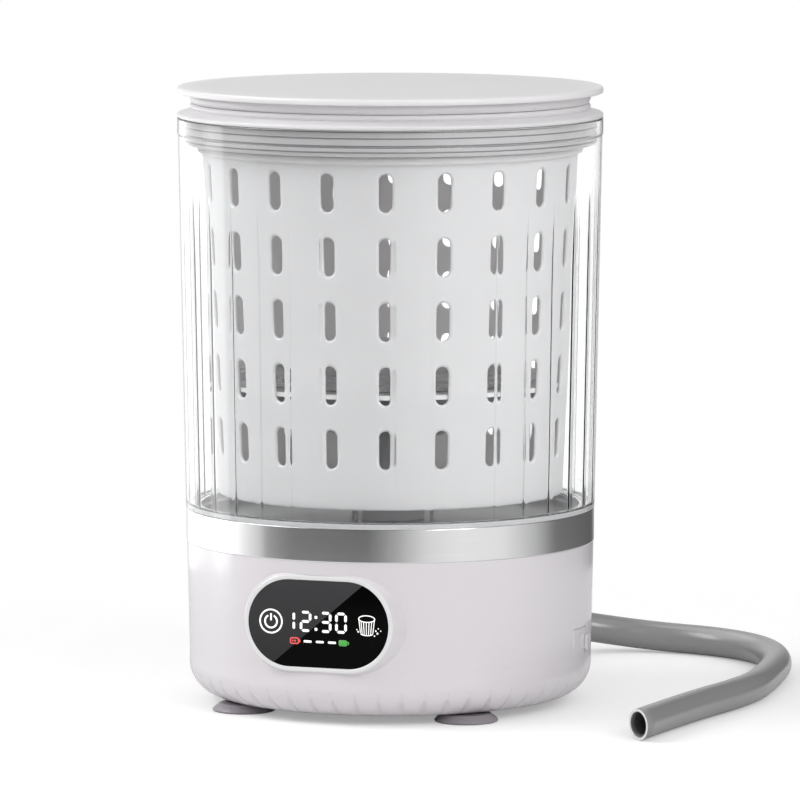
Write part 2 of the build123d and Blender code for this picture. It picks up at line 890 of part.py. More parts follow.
# Driven gear with hub and lightening holes
with BuildPart() as driven_gear:
    with BuildSketch(Plane.XY.offset(gear_low)):
        Polygon(*gear_outline(gear_teeth), align=None)
        with PolarLocations(web_hole_circle, web_hole_count):
            Circle(web_hole_radius, mode=Mode.SUBTRACT)
    extrude(amount=gear_width)
    with BuildSketch(Plane.XY.offset(gear_low)):
        Circle(gear_hub_radius)
    extrude(amount=gear_width + gear_hub_height)
    with BuildSketch(Plane.XY.offset(gear_low)):
        Circle(wash_shaft_radius + seat_gap)
    extrude(amount=gear_width + gear_hub_height, mode=Mode.SUBTRACT)
driven_gear.part.label = "driven_gear"

# Wash shaft with a tapped end
shaft_end = cap_top - 3.0
with BuildPart() as wash_shaft:
    shaft_foot = case_low + case_wall + body_gap
    with BuildSketch(Plane.XY.offset(shaft_foot)):
        Circle(wash_shaft_radius)
    extrude(amount=shaft_end - shaft_foot)
    with BuildSketch(Plane.XY.offset(shaft_end - plate_screw_length - 1.0)):
        Circle(plate_screw_radius + seat_gap)
    extrude(amount=plate_screw_length + 1.0, mode=Mode.SUBTRACT)
wash_shaft.part.label = "wash_shaft"

# One vane of the wash plate
with BuildPart() as vane:
    vane_low = wash_plate_low + 1.0
    vane_high = wash_plate_top + vane_height
    with BuildSketch(Plane.XZ.offset(-vane_thickness / 2)):
        with BuildLine():
            vane_foot = Line((vane_start, vane_low), (vane_end, vane_low))
            vane_tip = Line(vane_foot @ 1, (vane_end, wash_plate_top + 2.0))
            vane_crest = ThreePointArc(
                vane_tip @ 1,
                ((vane_start + vane_end) / 2, wash_plate_top + 0.8 * vane_height),
                (vane_start, vane_high),
            )
            Line(vane_crest @ 1, vane_foot @ 0)
        make_face()
    extrude(amount=vane_thickness)

# Wash plate: disc with vanes, ring ribs and a hollow cap over the nut
with BuildPart() as wash_plate:
    cap_room = nut_radius + 4.0
    revolve(
        section(
            (wash_shaft_radius + seat_gap, shaft_end - 8.0),
            (wash_shaft_radius + seat_gap, shaft_end + seat_gap),
            (plate_screw_radius + panel_gap, shaft_end + seat_gap),
            (plate_screw_radius + panel_gap, cap_top),
            (cap_radius - 6.0, cap_top),
            (cap_radius - 1.0, cap_top - 6.0),
            (cap_radius + 6.0, wash_plate_top + 2.0),
            (wash_plate_radius, wash_plate_top),
            (wash_plate_radius, wash_plate_low),
            (cap_room + 2.0, wash_plate_low),
            (cap_room, shaft_end - 8.0),
        ),
        axis=Axis.Z,
    )
    for rib_radius in ring_rib_radii:
        revolve(
            ring(
                rib_radius,
                rib_radius + ring_rib_width,
                wash_plate_top - 1.0,
                wash_plate_top + ring_rib_height,
            ),
            axis=Axis.Z,
        )
    with PolarLocations(0, vane_count):
        add(vane.part)
wash_plate.part.label = "wash_plate"

# Screw that holds the wash plate
with BuildPart() as wash_screw:
    with BuildSketch(Plane.XY.offset(cap_top)):
        Circle(plate_screw_head[0])
    extrude(amount=plate_screw_head[1])
    fillet(wash_screw.edges().group_by(Axis.Z)[-1], 1.2)
    with BuildSketch(Plane.XY.offset(shaft_end - plate_screw_length)):
        Circle(plate_screw_radius)
    extrude(amount=cap_top - shaft_end + plate_screw_length)
wash_screw.part.label = "wash_screw"

# Spin tube: hollow shaft of the basket
with BuildPart() as spin_tube:
    tube_low = gear_low + gear_width + gear_hub_height + 1.0
    tube_high = basket_floor_top + nut_height + 1.0
    with BuildSketch(Plane.XY.offset(tube_low)):
        Circle(spin_tube_radius)
        Circle(wash_shaft_radius + running_gap, mode=Mode.SUBTRACT)
    extrude(amount=tube_high - tube_low)
spin_tube.part.label = "spin_tube"

# Nut that clamps the basket's floor on the spin tube
with BuildPart() as basket_nut:
    with BuildSketch(Plane.XY.offset(basket_floor_top)):
        RegularPolygon(nut_radius, 6)
        Circle(spin_tube_radius + seat_gap, mode=Mode.SUBTRACT)
    extrude(amount=nut_height)
basket_nut.part.label = "basket_nut"

# One gusset below the basket's floor
with BuildPart() as gusset:
    gusset_end = basket_radius(basket_floor_low) - basket_wall - 2.0
    with BuildSketch(Plane.XZ.offset(-gusset_thickness / 2)):
        Polygon(
            (basket_hub_radius - 1.0, basket_floor_low - 4 * gusset_drop),
            (gusset_end, basket_floor_low - gusset_drop),
            (gusset_end, basket_floor_low + 0.5),
            (basket_hub_radius - 1.0, basket_floor_low + 0.5),
            align=None,
        )
    extrude(amount=gusset_thickness)

# Basket floor: plate that fills the basket, with hub, gussets and drain holes
with BuildPart() as basket_floor:
    floor_gap = basket_wall + seat_gap
    revolve(
        section(
            (spin_tube_radius + seat_gap, basket_floor_top),
            (basket_radius(basket_floor_top) - floor_gap, basket_floor_top),
            (basket_radius(basket_floor_low) - floor_gap, basket_floor_low),
            (basket_hub_radius + hub_flare, basket_floor_low),
            (basket_hub_radius, tub_hub_top + hub_clearance),
            (spin_tube_radius + seat_gap, tub_hub_top + hub_clearance),
        ),
        axis=Axis.Z,
    )
    with PolarLocations(0, gusset_count, gusset_start):
        add(gusset.part)
    with BuildSketch(Plane.XY.offset(basket_floor_low)):
        with PolarLocations(drain_hole_circle, slot_columns):
            Circle(drain_hole_radius)
    extrude(amount=basket_floor_thickness, mode=Mode.SUBTRACT)
basket_floor.part.label = "basket_floor"

# Basket: drafted wall with a rim and rows of slots
slot_planes = []
for column in range(slot_columns):
    turn = radians(slot_turn + 360 * column / slot_columns)
    outward = (sin(turn), -cos(turn), 0)
    along = (cos(turn), sin(turn), 0)
    slot_face = Plane(origin=(0, 0, basket_low), x_dir=along, z_dir=outward)
    slot_planes.append(slot_face.offset(basket_foot_radius - 2 * basket_wall))
slot_places = [(0, slot_first_height + row * slot_pitch) for row in range(slot_rows)]
with BuildPart() as basket:
    rim_low = basket_top - basket_rim_height
    revolve(
        section(
            (basket_foot_radius - basket_wall, basket_low),
            (basket_foot_radius, basket_low),
            (basket_radius(rim_low - basket_rim), rim_low - basket_rim),
            (basket_radius(rim_low) + basket_rim, rim_low),
            (basket_radius(rim_low) + basket_rim, basket_top),
            (basket_radius(basket_top) - basket_wall, basket_top),
        ),
        axis=Axis.Z,
    )
    with BuildSketch(*slot_planes):
        with Locations(*slot_places):
            SlotOverall(slot_length, slot_width, rotation=90)
    extrude(amount=plug_radius - basket_foot_radius + 2 * basket_wall, mode=Mode.SUBTRACT)
basket.part.label = "basket"

# Display bezel: bright ring round the glass
with BuildPart() as display_bezel:
    with BuildSketch(front.offset(display_reach)):
        SlotOverall(boss_length, boss_width)
        SlotOverall(display_length + 2 * panel_gap, display_width + 2 * panel_gap, mode=Mode.SUBTRACT)
    extrude(amount=bezel_proud)
    bezel_edges = display_bezel.faces().sort_by(Axis.Y)[0].edges()
    chamfer(bezel_edges, bezel_bevel)
display_bezel.part.label = "display_bezel"

# Display glass
with BuildPart() as display_glass:
    with BuildSketch(front.offset(glass_face - glass_thickness)):
        SlotOverall(display_length, display_width)
    extrude(amount=glass_thickness)
display_glass.part.label = "display_glass"

# Display board with its block of digits
with BuildPart() as display_board:
    with BuildSketch(front.offset(pad_face - board_thickness)):
        SlotOverall(board_length, board_width)
    extrude(amount=board_thickness)
    with BuildSketch(front.offset(pad_face)):
        Rectangle(*digit_block)
    extrude(amount=glass_face - glass_thickness - pad_face - panel_gap)
display_board.part.label = "display_board"

# Control board with its larger components
board_middle = control_board_start + control_board_size[0] / 2
with BuildPart() as control_board:
    with BuildSketch(Plane.XY.offset(board_low)):
        with Locations((board_middle, 0)):
            Rectangle(control_board_size[0], control_board_size[1])
    extrude(amount=control_board_size[2])
    with BuildSketch(Plane.XY.offset(board_low + control_board_size[2])):
        with Locations(*capacitor_places):
            Circle(capacitor_radius)
        with Locations(heat_sink_place):
            Rectangle(heat_sink_side, heat_sink_side)
    extrude(amount=component_height)
control_board.part.label = "control_board"

# Charging socket on the edge of the board
with BuildPart() as charge_socket:
    socket_start = control_board_start + control_board_size[0] - 1.0
    with BuildSketch(side.offset(socket_start)):
        Rectangle(socket_size[1], socket_size[2])
    extrude(amount=socket_size[0])
    with BuildSketch(side.offset(socket_start + 3.0)):
        SlotOverall(socket_size[1] - 1.6, 3.2)
    extrude(amount=socket_size[0], mode=Mode.SUBTRACT)
charge_socket.part.label = "charge_socket"

# Cover of the inlet: curved plate with hinge barrel and pull tab
port_low = port_height - port_width / 2
port_high = port_height + port_width / 2


def skin_ring(inner_step, outer_step, low, high):
    """Half section that follows the base's skin between two steps from it."""
    return section(
        (base_radius(low) + inner_step, low),
        (base_radius(low) + outer_step, low),
        (base_radius(high) + outer_step, high),
        (base_radius(high) + inner_step, high),
    )


with BuildPart() as cover_plate_blank:
    revolve(skin_ring(-cover_thickness, 0, port_low - 1.0, port_high + 1.0), axis=Axis.Z)
    with BuildSketch(side):
        RectangleRounded(port_length, port_width, port_corner)
        with Locations((hinge_y / 2, 0)):
            Rectangle(-hinge_y, port_width)
        with Locations(((hinge_y - port_length) / 2, 0)):
            Rectangle(port_length + hinge_y, port_width + 1.0, mode=Mode.SUBTRACT)
    extrude(amount=lid_radius, mode=Mode.INTERSECT)
with BuildPart() as tab_blank:
    tab_low = port_height - tab_width / 2
    tab_high = port_height + tab_width / 2
    revolve(skin_ring(body_gap, tab_proud, tab_low - 1.0, tab_high + 1.0), axis=Axis.Z)
    with BuildSketch(side):
        with Locations((port_length / 2 - tab_overlap + tab_length / 2, 0)):
            RectangleRounded(tab_length, tab_width, tab_corner)
    extrude(amount=lid_radius, mode=Mode.INTERSECT)
with BuildPart() as tab_root:
    revolve(skin_ring(-1.0, body_gap + 0.5, tab_low, tab_high), axis=Axis.Z)
    with BuildSketch(side):
        with Locations((port_length / 2 - tab_overlap + 2.0, 0)):
            Rectangle(tab_overlap - 1.5, tab_width - 3.0)
    extrude(amount=lid_radius, mode=Mode.INTERSECT)
with BuildPart() as port_cover:
    add(cover_plate_blank.part)
    add(tab_blank.part)
    add(tab_root.part)
    with BuildSketch(Plane.XY.offset(port_low)):
        with Locations((hinge_x, hinge_y)):
            Circle(cover_barrel_radius)
    extrude(amount=port_width)
    with BuildSketch(Plane.XY.offset(port_low)):
        with Locations((hinge_x, hinge_y)):
            Circle(hinge_pin_radius + running_gap)
    extrude(amount=port_width, mode=Mode.SUBTRACT)
port_cover.part.label = "port_cover"

# Hinge pin of the cover
with BuildPart() as hinge_pin:
    with BuildSketch(Plane.XY.offset(port_low - 2.2)):
        with Locations((hinge_x, hinge_y)):
            Circle(hinge_pin_radius)
    extrude(amount=port_width + 4.4)
hinge_pin.part.label = "hinge_pin"

# Battery cells and their tray
tray_side = cell_pitch + 2 * (cell_radius + tray_margin)
with BuildPart() as battery_cells:
    with BuildSketch(Plane.XY.offset(base_floor_top + tray_floor)):
        with Locations((0, -battery_circle)):
            with GridLocations(cell_pitch, cell_pitch, 2, 2):
                Circle(cell_radius)
    extrude(amount=cell_length)
battery_cells.part.label = "battery_cells"
with BuildPart() as battery_holder:
    with BuildSketch(Plane.XY.offset(base_floor_top)):
        with Locations((0, -battery_circle)):
            RectangleRounded(tray_side, tray_side, cell_radius)
    extrude(amount=fence_height)
    with BuildSketch(Plane.XY.offset(base_floor_top + tray_floor)):
        with Locations((0, -battery_circle)):
            with GridLocations(cell_pitch, cell_pitch, 2, 2):
                Circle(cell_radius + panel_gap)
    extrude(amount=fence_height, mode=Mode.SUBTRACT)
battery_holder.part.label = "battery_holder"

# Drain elbow from the tub's spout to the outlet
elbow_top = tub_floor_low - spout_length
elbow_end = sump_radius + elbow_bend
with BuildPart() as drain_elbow:
    with BuildLine() as elbow_path:
        down = Line((0, sump_radius, elbow_top), (0, sump_radius, outlet_height + elbow_bend))
        TangentArc(down @ 1, (0, elbow_end, outlet_height), tangent=(0, 0, -1))
    with BuildSketch(Plane(origin=down @ 0, z_dir=(0, 0, -1))):
        Circle(sump_bore + spout_wall)
        Circle(sump_bore, mode=Mode.SUBTRACT)
    sweep(path=elbow_path.wires()[0])
drain_elbow.part.label = "drain_elbow"

# Outlet collar in the back wall
with BuildPart() as drain_outlet:
    with BuildSketch(back.offset(elbow_end)):
        Circle(outlet_neck_radius)
    extrude(amount=outlet_reach - elbow_end)
    with BuildSketch(back.offset(outlet_seat)):
        Circle(outlet_flange_radius)
    extrude(amount=outlet_flange)
    with BuildSketch(back.offset(outlet_seat + outlet_flange)):
        Circle(outlet_sleeve_radius)
    extrude(amount=outlet_reach - outlet_seat - outlet_flange)
    with BuildSketch(back.offset(elbow_end)):
        Circle(outlet_bore)
    extrude(amount=outlet_reach, mode=Mode.SUBTRACT)
    with BuildSketch(back.offset(outlet_reach - hose_grip)):
        Circle(hose_radius + seat_gap)
    extrude(amount=hose_grip, mode=Mode.SUBTRACT)
drain_outlet.part.label = "drain_outlet"

# Drain hose: out of the collar, down to the floor and round to the front
hose_route = (
    (0, outlet_reach - hose_grip, outlet_height),
    (0, 159.5, outlet_height),
    (13.0, 199.0, 24.5),
    (43.5, 229.0, 15.5),
    (84.5, 243.0, floor_rest + 0.5),
    (128.5, 237.0, floor_rest),
    (165.0, 212.0, floor_rest),
    (189.5, 167.0, floor_rest),
    (201.0, 102.5, floor_rest),
    (206.5, 50.5, floor_rest),
    (193.0, -31.5, floor_rest),
    (188.0, -101.0, floor_rest),
)


def bend_radii(route):
    """Radius of each bend: 0.45 of the shorter run over the tangent of half the turn."""
    radii = []
    for before, corner, after in zip(route, route[1:], route[2:]):
        run_in = Vector(*corner) - Vector(*before)
        run_out = Vector(*after) - Vector(*corner)
        half_turn = radians(run_in.get_angle(run_out)) / 2
        radii.append(0.45 * min(run_in.length, run_out.length) / tan(half_turn))
    return radii


hose_radii = bend_radii(hose_route)
with BuildPart() as drain_hose:
    with BuildLine() as hose_path:
        FilletPolyline(*hose_route, radius=hose_radii)
    hose_wire = hose_path.wires()[0]
    with BuildSketch(Plane(origin=hose_wire @ 0, z_dir=hose_wire % 0)):
        Circle(hose_radius)
        Circle(hose_bore, mode=Mode.SUBTRACT)
    sweep(path=hose_wire)
drain_hose.part.label = "drain_hose"
print("hose length", round(hose_wire.length, 1), "bend radii", [round(r) for r in hose_radii])

# Screws of the tub, the bottom cover and the feet
with BuildPart() as tub_screws:
    with BuildSketch(Plane.XY.offset(chassis_low - screw_head_height)):
        with PolarLocations(tub_screw_circle, tub_screw_count):
            Circle(screw_head_radius)
    extrude(amount=screw_head_height)
    with BuildSketch(Plane.XY.offset(chassis_low)):
        with PolarLocations(tub_screw_circle, tub_screw_count):
            Circle(screw_radius)
    extrude(amount=chassis_thickness + screw_boss_height - 1.0)
tub_screws.part.label = "tub_screws"
with BuildPart() as cover_screws:
    with BuildSketch(Plane.XY.offset(under_level + 0.1)):
        with PolarLocations(cover_screw_circle, cover_screw_count):
            Circle(screw_head_radius)
    extrude(amount=screw_head_height)
    with BuildSketch(Plane.XY.offset(under_level + 0.1 + screw_head_height)):
        with PolarLocations(cover_screw_circle, cover_screw_count):
            Circle(screw_radius)
    extrude(amount=base_floor + screw_boss_height - screw_head_height - 3.0)
cover_screws.part.label = "cover_screws"
with BuildPart() as foot_screws:
    with BuildSketch(Plane.XY.offset(foot_seat - screw_head_height)):
        with PolarLocations(foot_circle, foot_count, foot_start):
            Circle(screw_head_radius)
    extrude(amount=screw_head_height)
    with BuildSketch(Plane.XY.offset(foot_seat)):
        with PolarLocations(foot_circle, foot_count, foot_start):
            Circle(screw_radius)
    extrude(amount=base_floor + screw_boss_height - 1.0)
foot_screws.part.label = "foot_screws"

pieces = (
    lid_cap, lid_ring, lid_seal, tub, tub_base, tub_hub, shaft_seal, tub_gasket, trim_ring,
    base_shell, bottom_cover, feet, chassis_plate, gear_case, gear_cover, bearings, motor_can,
    motor_mount, motor_shaft, pinion, driven_gear, wash_shaft, wash_plate, wash_screw,
    spin_tube, basket_nut, basket, basket_floor, display_bezel, display_glass, display_board,
    control_board, charge_socket, port_cover, hinge_pin, battery_cells, battery_holder,
    drain_elbow, drain_outlet, drain_hose, tub_screws, cover_screws, foot_screws,
)
for piece in pieces:
    export_step(piece.part, f"parts/{piece.part.label}.step")
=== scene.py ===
"""Looks of the portable washing machine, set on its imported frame. Shapes are worked out in
millimetres and put into metres when a piece is made. Z is up and the display faces -Y."""

from math import cos, pi, radians, sin

import bmesh
import bpy
import numpy as np
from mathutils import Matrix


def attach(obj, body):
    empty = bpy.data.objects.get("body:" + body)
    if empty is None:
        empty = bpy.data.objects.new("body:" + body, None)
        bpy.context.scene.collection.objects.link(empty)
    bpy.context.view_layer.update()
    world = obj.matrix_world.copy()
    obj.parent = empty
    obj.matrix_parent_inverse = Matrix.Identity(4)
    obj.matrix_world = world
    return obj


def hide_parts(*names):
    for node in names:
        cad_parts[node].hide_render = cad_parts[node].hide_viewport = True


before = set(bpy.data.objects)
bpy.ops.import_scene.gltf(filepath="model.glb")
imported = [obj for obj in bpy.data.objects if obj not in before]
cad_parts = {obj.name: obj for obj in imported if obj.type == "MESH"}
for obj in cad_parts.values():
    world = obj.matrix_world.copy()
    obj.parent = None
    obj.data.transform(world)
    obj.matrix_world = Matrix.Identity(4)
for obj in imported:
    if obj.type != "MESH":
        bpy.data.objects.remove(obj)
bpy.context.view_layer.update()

MM = 0.001
scene = bpy.context.scene
scene.view_settings.view_transform = "Standard"

# Heights from the floor and radii of the outer stack
under_level = 5.2
corner_radius = 19.5
corner_top = under_level + corner_radius
flute_count = 54
base_top = 96.2
band_top = 115.8
ledge_top = 118.4
tub_floor_top = 109.0
tub_top = 345.2
lid_low = 345.55
flange_top = 347.65
lower_bead_low = 350.25
upper_bead_low = 353.65
lid_disc_low = 359.55
lid_top = 363.25
lid_radius = 125.0
neck_radius = 116.9
band_radius = 120.2
skirt_radius = 120.2
plug_radius = 114.9
tub_wall = 2.6
rib_turn = 1.2
rib_count = 36
rib_rise = 0.42
rib_top = 303.0
mark_level = 313.2
mark_half_turn = 8.6
mark_half_height = 1.3
mark_rise = 0.14
lid_wall = 2.6
base_top_radius = 119.9
base_draft = 1.5
tub_foot_radius = 120.4
tub_draft = 4.1
tub_drafted_height = 219.4

# Display on the front
display_height = 60.2
display_reach = 119.2
glass_face = 119.7
glass_length = 87.5
glass_width = 52.4
bezel_width = 2.9
bezel_over_length = 1.7
bezel_over_width = 2.1

# Basket
basket_low = 124.6
basket_top = 329.4
basket_foot_radius = 101.5
basket_slope = 0.0436
basket_wall = 2.2
basket_rim = 2.8
slot_columns = 20
slot_rows = 5
slot_length = 22.2
slot_width = 7.9
slot_pitch = 37.2
slot_first = basket_low + 35.0
slot_turn = 0.9
slot_margin = 1.45


def base_radius(height):
    """Outer radius of the base's drafted wall above its rounded corner."""
    return base_top_radius - base_draft * (1 - (height - corner_top) / (base_top - corner_top))


def tub_radius(height):
    """Outer radius of the tub's drafted wall."""
    return tub_foot_radius + tub_draft * (height - band_top) / tub_drafted_height


def basket_radius(height):
    """Outer radius of the basket's drafted wall."""
    return basket_foot_radius + basket_slope * (height - basket_low)


def put(name, data):
    """New object with that data in the scene."""
    made = bpy.data.objects.new(name, data)
    scene.collection.objects.link(made)
    return made


# ---------------------------------------------------------------- camera and hose

camera_pitch = 6.15
camera_turn = 20.3
camera_aside = 0.0765
eye = bpy.data.cameras.new("eye")
eye.lens = 327.0
eye.sensor_width = 36.0
eye.clip_end = 60.0
camera = put("camera", eye)
camera.location = (1.4766, -3.9917, 0.6365)
camera.rotation_euler = (radians(90 - camera_pitch), 0, radians(camera_turn - camera_aside))
scene.camera = camera

hose_radius = 9.0
hose_bore = 7.3
hose_slant = -0.85
slant_run = 26.0
floor_rest = 9.1
hose_route = np.array(
    [
        (0, 118.5, 35.0),
        (0, 159.5, 35.0),
        (13.0, 199.0, 24.5),
        (43.5, 229.0, 15.5),
        (84.5, 243.0, floor_rest + 0.5),
        (128.5, 237.0, floor_rest),
        (165.0, 212.0, floor_rest),
        (189.5, 167.0, floor_rest),
        (201.0, 102.5, floor_rest),
        (206.5, 50.5, floor_rest),
        (193.0, -31.5, floor_rest),
        (188.0, -101.0, floor_rest),
    ]
)


def smooth_line(route, steps):
    """Points along the NURBS spline that has the route's points as its control points."""
    curve = bpy.data.curves.new("hose_line", "CURVE")
    curve.dimensions = "3D"
    spline = curve.splines.new("NURBS")
    spline.points.add(len(route) - 1)
    spline.points.foreach_set("co", np.column_stack((route, np.ones(len(route)))).ravel())
    spline.order_u = 3
    spline.use_endpoint_u = True
    spline.resolution_u = steps
    holder = bpy.data.objects.new("hose_line", curve)
    read = bpy.data.meshes.new_from_object(holder)
    points = np.empty(len(read.vertices) * 3)
    read.vertices.foreach_get("co", points)
    bpy.data.objects.remove(holder)
    bpy.data.meshes.remove(read)
    bpy.data.curves.remove(curve)
    return points.reshape(-1, 3)


# ---------------------------------------------------------------- shapes


def quads(rows, columns, wrap_rows=False, wrap_columns=False):
    """Corner numbers of the quads between the neighbours of a grid, wrapped where asked."""
    row = np.arange(rows if wrap_rows else rows - 1)
    column = np.arange(columns if wrap_columns else columns - 1)
    a, b = np.meshgrid(row, column, indexing="ij")
    below, beside = (a + 1) % rows, (b + 1) % columns
    corners = (a * columns + b, a * columns + beside, below * columns + beside, below * columns + b)
    return np.stack(corners, -1).reshape(-1, 4)


def skin(name, parts, finish, body, stands_for=(), merge=2e-6):
    """One piece from (points in mm, quads) parts: doubles merged, faces outwards, riding body."""
    points, faces, start = [], [], 0
    for part_points, part_faces in parts:
        part_points = np.asarray(part_points, float).reshape(-1, 3)
        points.append(part_points)
        faces.append(np.asarray(part_faces) + start)
        start += len(part_points)
    mesh = bpy.data.meshes.new(name)
    mesh.from_pydata((np.concatenate(points) * MM).tolist(), [], np.concatenate(faces).tolist())
    work = bmesh.new()
    work.from_mesh(mesh)
    bmesh.ops.remove_doubles(work, verts=work.verts, dist=merge)
    bmesh.ops.dissolve_degenerate(work, edges=work.edges, dist=merge / 4)
    loose = [v for v in work.verts if not v.link_faces]
    bmesh.ops.delete(work, geom=loose, context="VERTS")
    bmesh.ops.recalc_face_normals(work, faces=work.faces)
    work.to_mesh(mesh)
    work.free()
    mesh.polygons.foreach_set("use_smooth", np.ones(len(mesh.polygons), bool))
    mesh.materials.append(finish)
    piece = put(name, mesh)
    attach(piece, body)
    if stands_for:
        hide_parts(*stands_for)
    return piece


def soft_outline(corners, closed=True, steps=5, guard=0.22):
    """Outline through (r, z, rounding) corners: each corner is a parabola that touches both
    runs at its rounding from the corner, and each run has a point close to either end, so
    that shading stays flat along it."""
    corners = np.array(corners, float)
    count = len(corners)
    t = np.linspace(0, 1, steps + 1)[:, None]
    rounded = []
    for i in range(count):
        here, size = corners[i, :2], corners[i, 2]
        if not closed and i in (0, count - 1):
            rounded.append(here[None])
            continue
        into = corners[i - 1, :2] - here
        out = corners[(i + 1) % count, :2] - here
        into_length, out_length = np.hypot(*into), np.hypot(*out)
        size = min(size, 0.48 * into_length, 0.48 * out_length)
        first, last = here + into / into_length * size, here + out / out_length * size
        rounded.append((1 - t) ** 2 * first + 2 * t * (1 - t) * here + t**2 * last)
    line = []
    for i in range(count):
        line.append(rounded[i])
        if i == count - 1 and not closed:
            break
        start, end = rounded[i][-1], rounded[(i + 1) % count][0]
        run = np.hypot(*(end - start))
        if run > 4 * guard:
            step = (end - start) / run * guard
            line.append(np.array([start + step, end - step]))
    return np.concatenate(line)


def around(r, angle, z):
    """Grid of points about the upright axis: x = r cos a, y = r sin a."""
    return np.stack(np.broadcast_arrays(r * np.cos(angle), r * np.sin(angle), z), -1)


def in_front(x, reach, z):
    """Grid of points on the front, by their reach from the axis and height over the display's."""
    return np.stack(np.broadcast_arrays(x, -reach, display_height + z), -1)


def turned(outline, count=288, closed=True, centre=(0, 0)):
    """Grid and quads of an (r, z) outline carried round an upright axis through centre."""
    angle = np.linspace(0, 2 * pi, count, endpoint=False)
    grid = around(outline[:, :1], angle, outline[:, 1:2]) + (*centre, 0)
    return grid, quads(len(outline), count, closed, True)


def pill(length, width, count):
    """Points and outward normals of a pill outline, evenly by angle on its two half rounds."""
    half = count // 2
    angle = np.linspace(-pi / 2, pi / 2, half)
    right = np.stack((np.cos(angle), np.sin(angle)), -1)
    normal = np.concatenate((right, -right))
    centre = np.concatenate((np.full(half, 1.0), np.full(half, -1.0)))
    points = normal * width / 2
    points[:, 0] += centre * (length - width) / 2
    return points, normal


# ---------------------------------------------------------------- finishes


def blank(name):
    """New material, its tree and its main shader."""
    made = bpy.data.materials.new(name)
    made.use_nodes = True
    return made, made.node_tree, made.node_tree.nodes["Principled BSDF"]


def own_place(tree):
    """Place of the shaded point in the piece's own coordinates."""
    return tree.nodes.new("ShaderNodeTexCoord").outputs["Object"]


def join(tree, source, target):
    """Link from an output to an input."""
    tree.links.new(source, target)


def feed(tree, value, socket):
    """Input set to a number or colour, or joined to an output."""
    if isinstance(value, bpy.types.NodeSocket):
        join(tree, value, socket)
    else:
        socket.default_value = value


def add(tree, kind, operation=None, **values):
    """Node of that kind with its inputs fed by name or, as in_0, by number."""
    made = tree.nodes.new("ShaderNode" + kind)
    if operation:
        made.operation = operation
    for name, value in values.items():
        key = int(name[3:]) if name.startswith("in_") else name.replace("_", " ")
        feed(tree, value, made.inputs[key])
    return made


def blend(tree, factor, first, second, kind="MIX"):
    """Two colours put together by a factor, as a mix or in another way of the mix node."""
    made = tree.nodes.new("ShaderNodeMix")
    made.data_type = "RGBA"
    made.blend_type = kind
    for place, value in ((0, factor), (6, first), (7, second)):
        feed(tree, value, made.inputs[place])
    return made.outputs[2]


def effect(name, shade, **numbers):
    """Node group that takes two colours and those numbers, and gives colour, roughness and a
    height for the fine relief."""
    group = bpy.data.node_groups.new(name, "ShaderNodeTree")
    inputs = [("Tint", "Color", (0.8, 0.8, 0.8, 1)), ("Shade", "Color", (shade, shade, shade, 1))]
    inputs += [(label, "Float", value) for label, value in numbers.items()]
    for label, kind, value in inputs:
        socket = group.interface.new_socket(label, in_out="INPUT", socket_type="NodeSocket" + kind)
        socket.default_value = value
    for label, kind in (("Color", "Color"), ("Roughness", "Float"), ("Height", "Float")):
        group.interface.new_socket(label, in_out="OUTPUT", socket_type="NodeSocket" + kind)
    return group, group.nodes.new("NodeGroupInput"), group.nodes.new("NodeGroupOutput")


def ramp(tree, factor, stops):
    """Colour ramp with (place, grey or colour) stops."""
    made = tree.nodes.new("ShaderNodeValToRGB")
    elements = made.color_ramp.elements
    while len(elements) < len(stops):
        elements.new(1.0)
    # all the places first, because a place that is set may change the elements' order
    for element, (place, _) in zip(elements, stops):
        element.position = place
    for element, (place, shade) in zip(elements, stops):
        element.position = place
        element.color = (*shade, 1) if isinstance(shade, tuple) else (shade, shade, shade, 1)
    join(tree, factor, made.inputs["Fac"])
    return made.outputs["Color"]


def vary_gloss(group, noise, given, out):
    """Roughness = Gloss + Spread * (noise - 0.5)."""
    centred = add(group, "Math", "SUBTRACT", in_0=noise, in_1=0.5)
    gloss = add(group, "Math", "MULTIPLY_ADD", in_0=centred.outputs[0],
                in_1=given.outputs["Spread"], in_2=given.outputs["Gloss"])
    join(group, gloss.outputs[0], out.inputs["Roughness"])


def moulded_effect():
    """Moulded plastic: slow clouds between two tints, a fine skin and patches of softer gloss."""
    group, given, out = effect("moulded_skin", 0.7, Grain=900.0, Gloss=0.3, Spread=0.08)
    place = own_place(group)
    cloud = add(group, "TexNoise", Vector=place, Scale=14.0, Detail=3.0)
    tint = blend(group, cloud.outputs["Fac"], given.outputs["Tint"], given.outputs["Shade"])
    join(group, tint, out.inputs["Color"])
    patch = add(group, "TexNoise", Vector=place, Scale=46.0, Detail=4.0, Roughness=0.6)
    vary_gloss(group, patch.outputs["Fac"], given, out)
    fine = add(group, "TexNoise", Vector=place, Scale=given.outputs["Grain"], Detail=2.0)
    join(group, fine.outputs["Fac"], out.inputs["Height"])
    return group


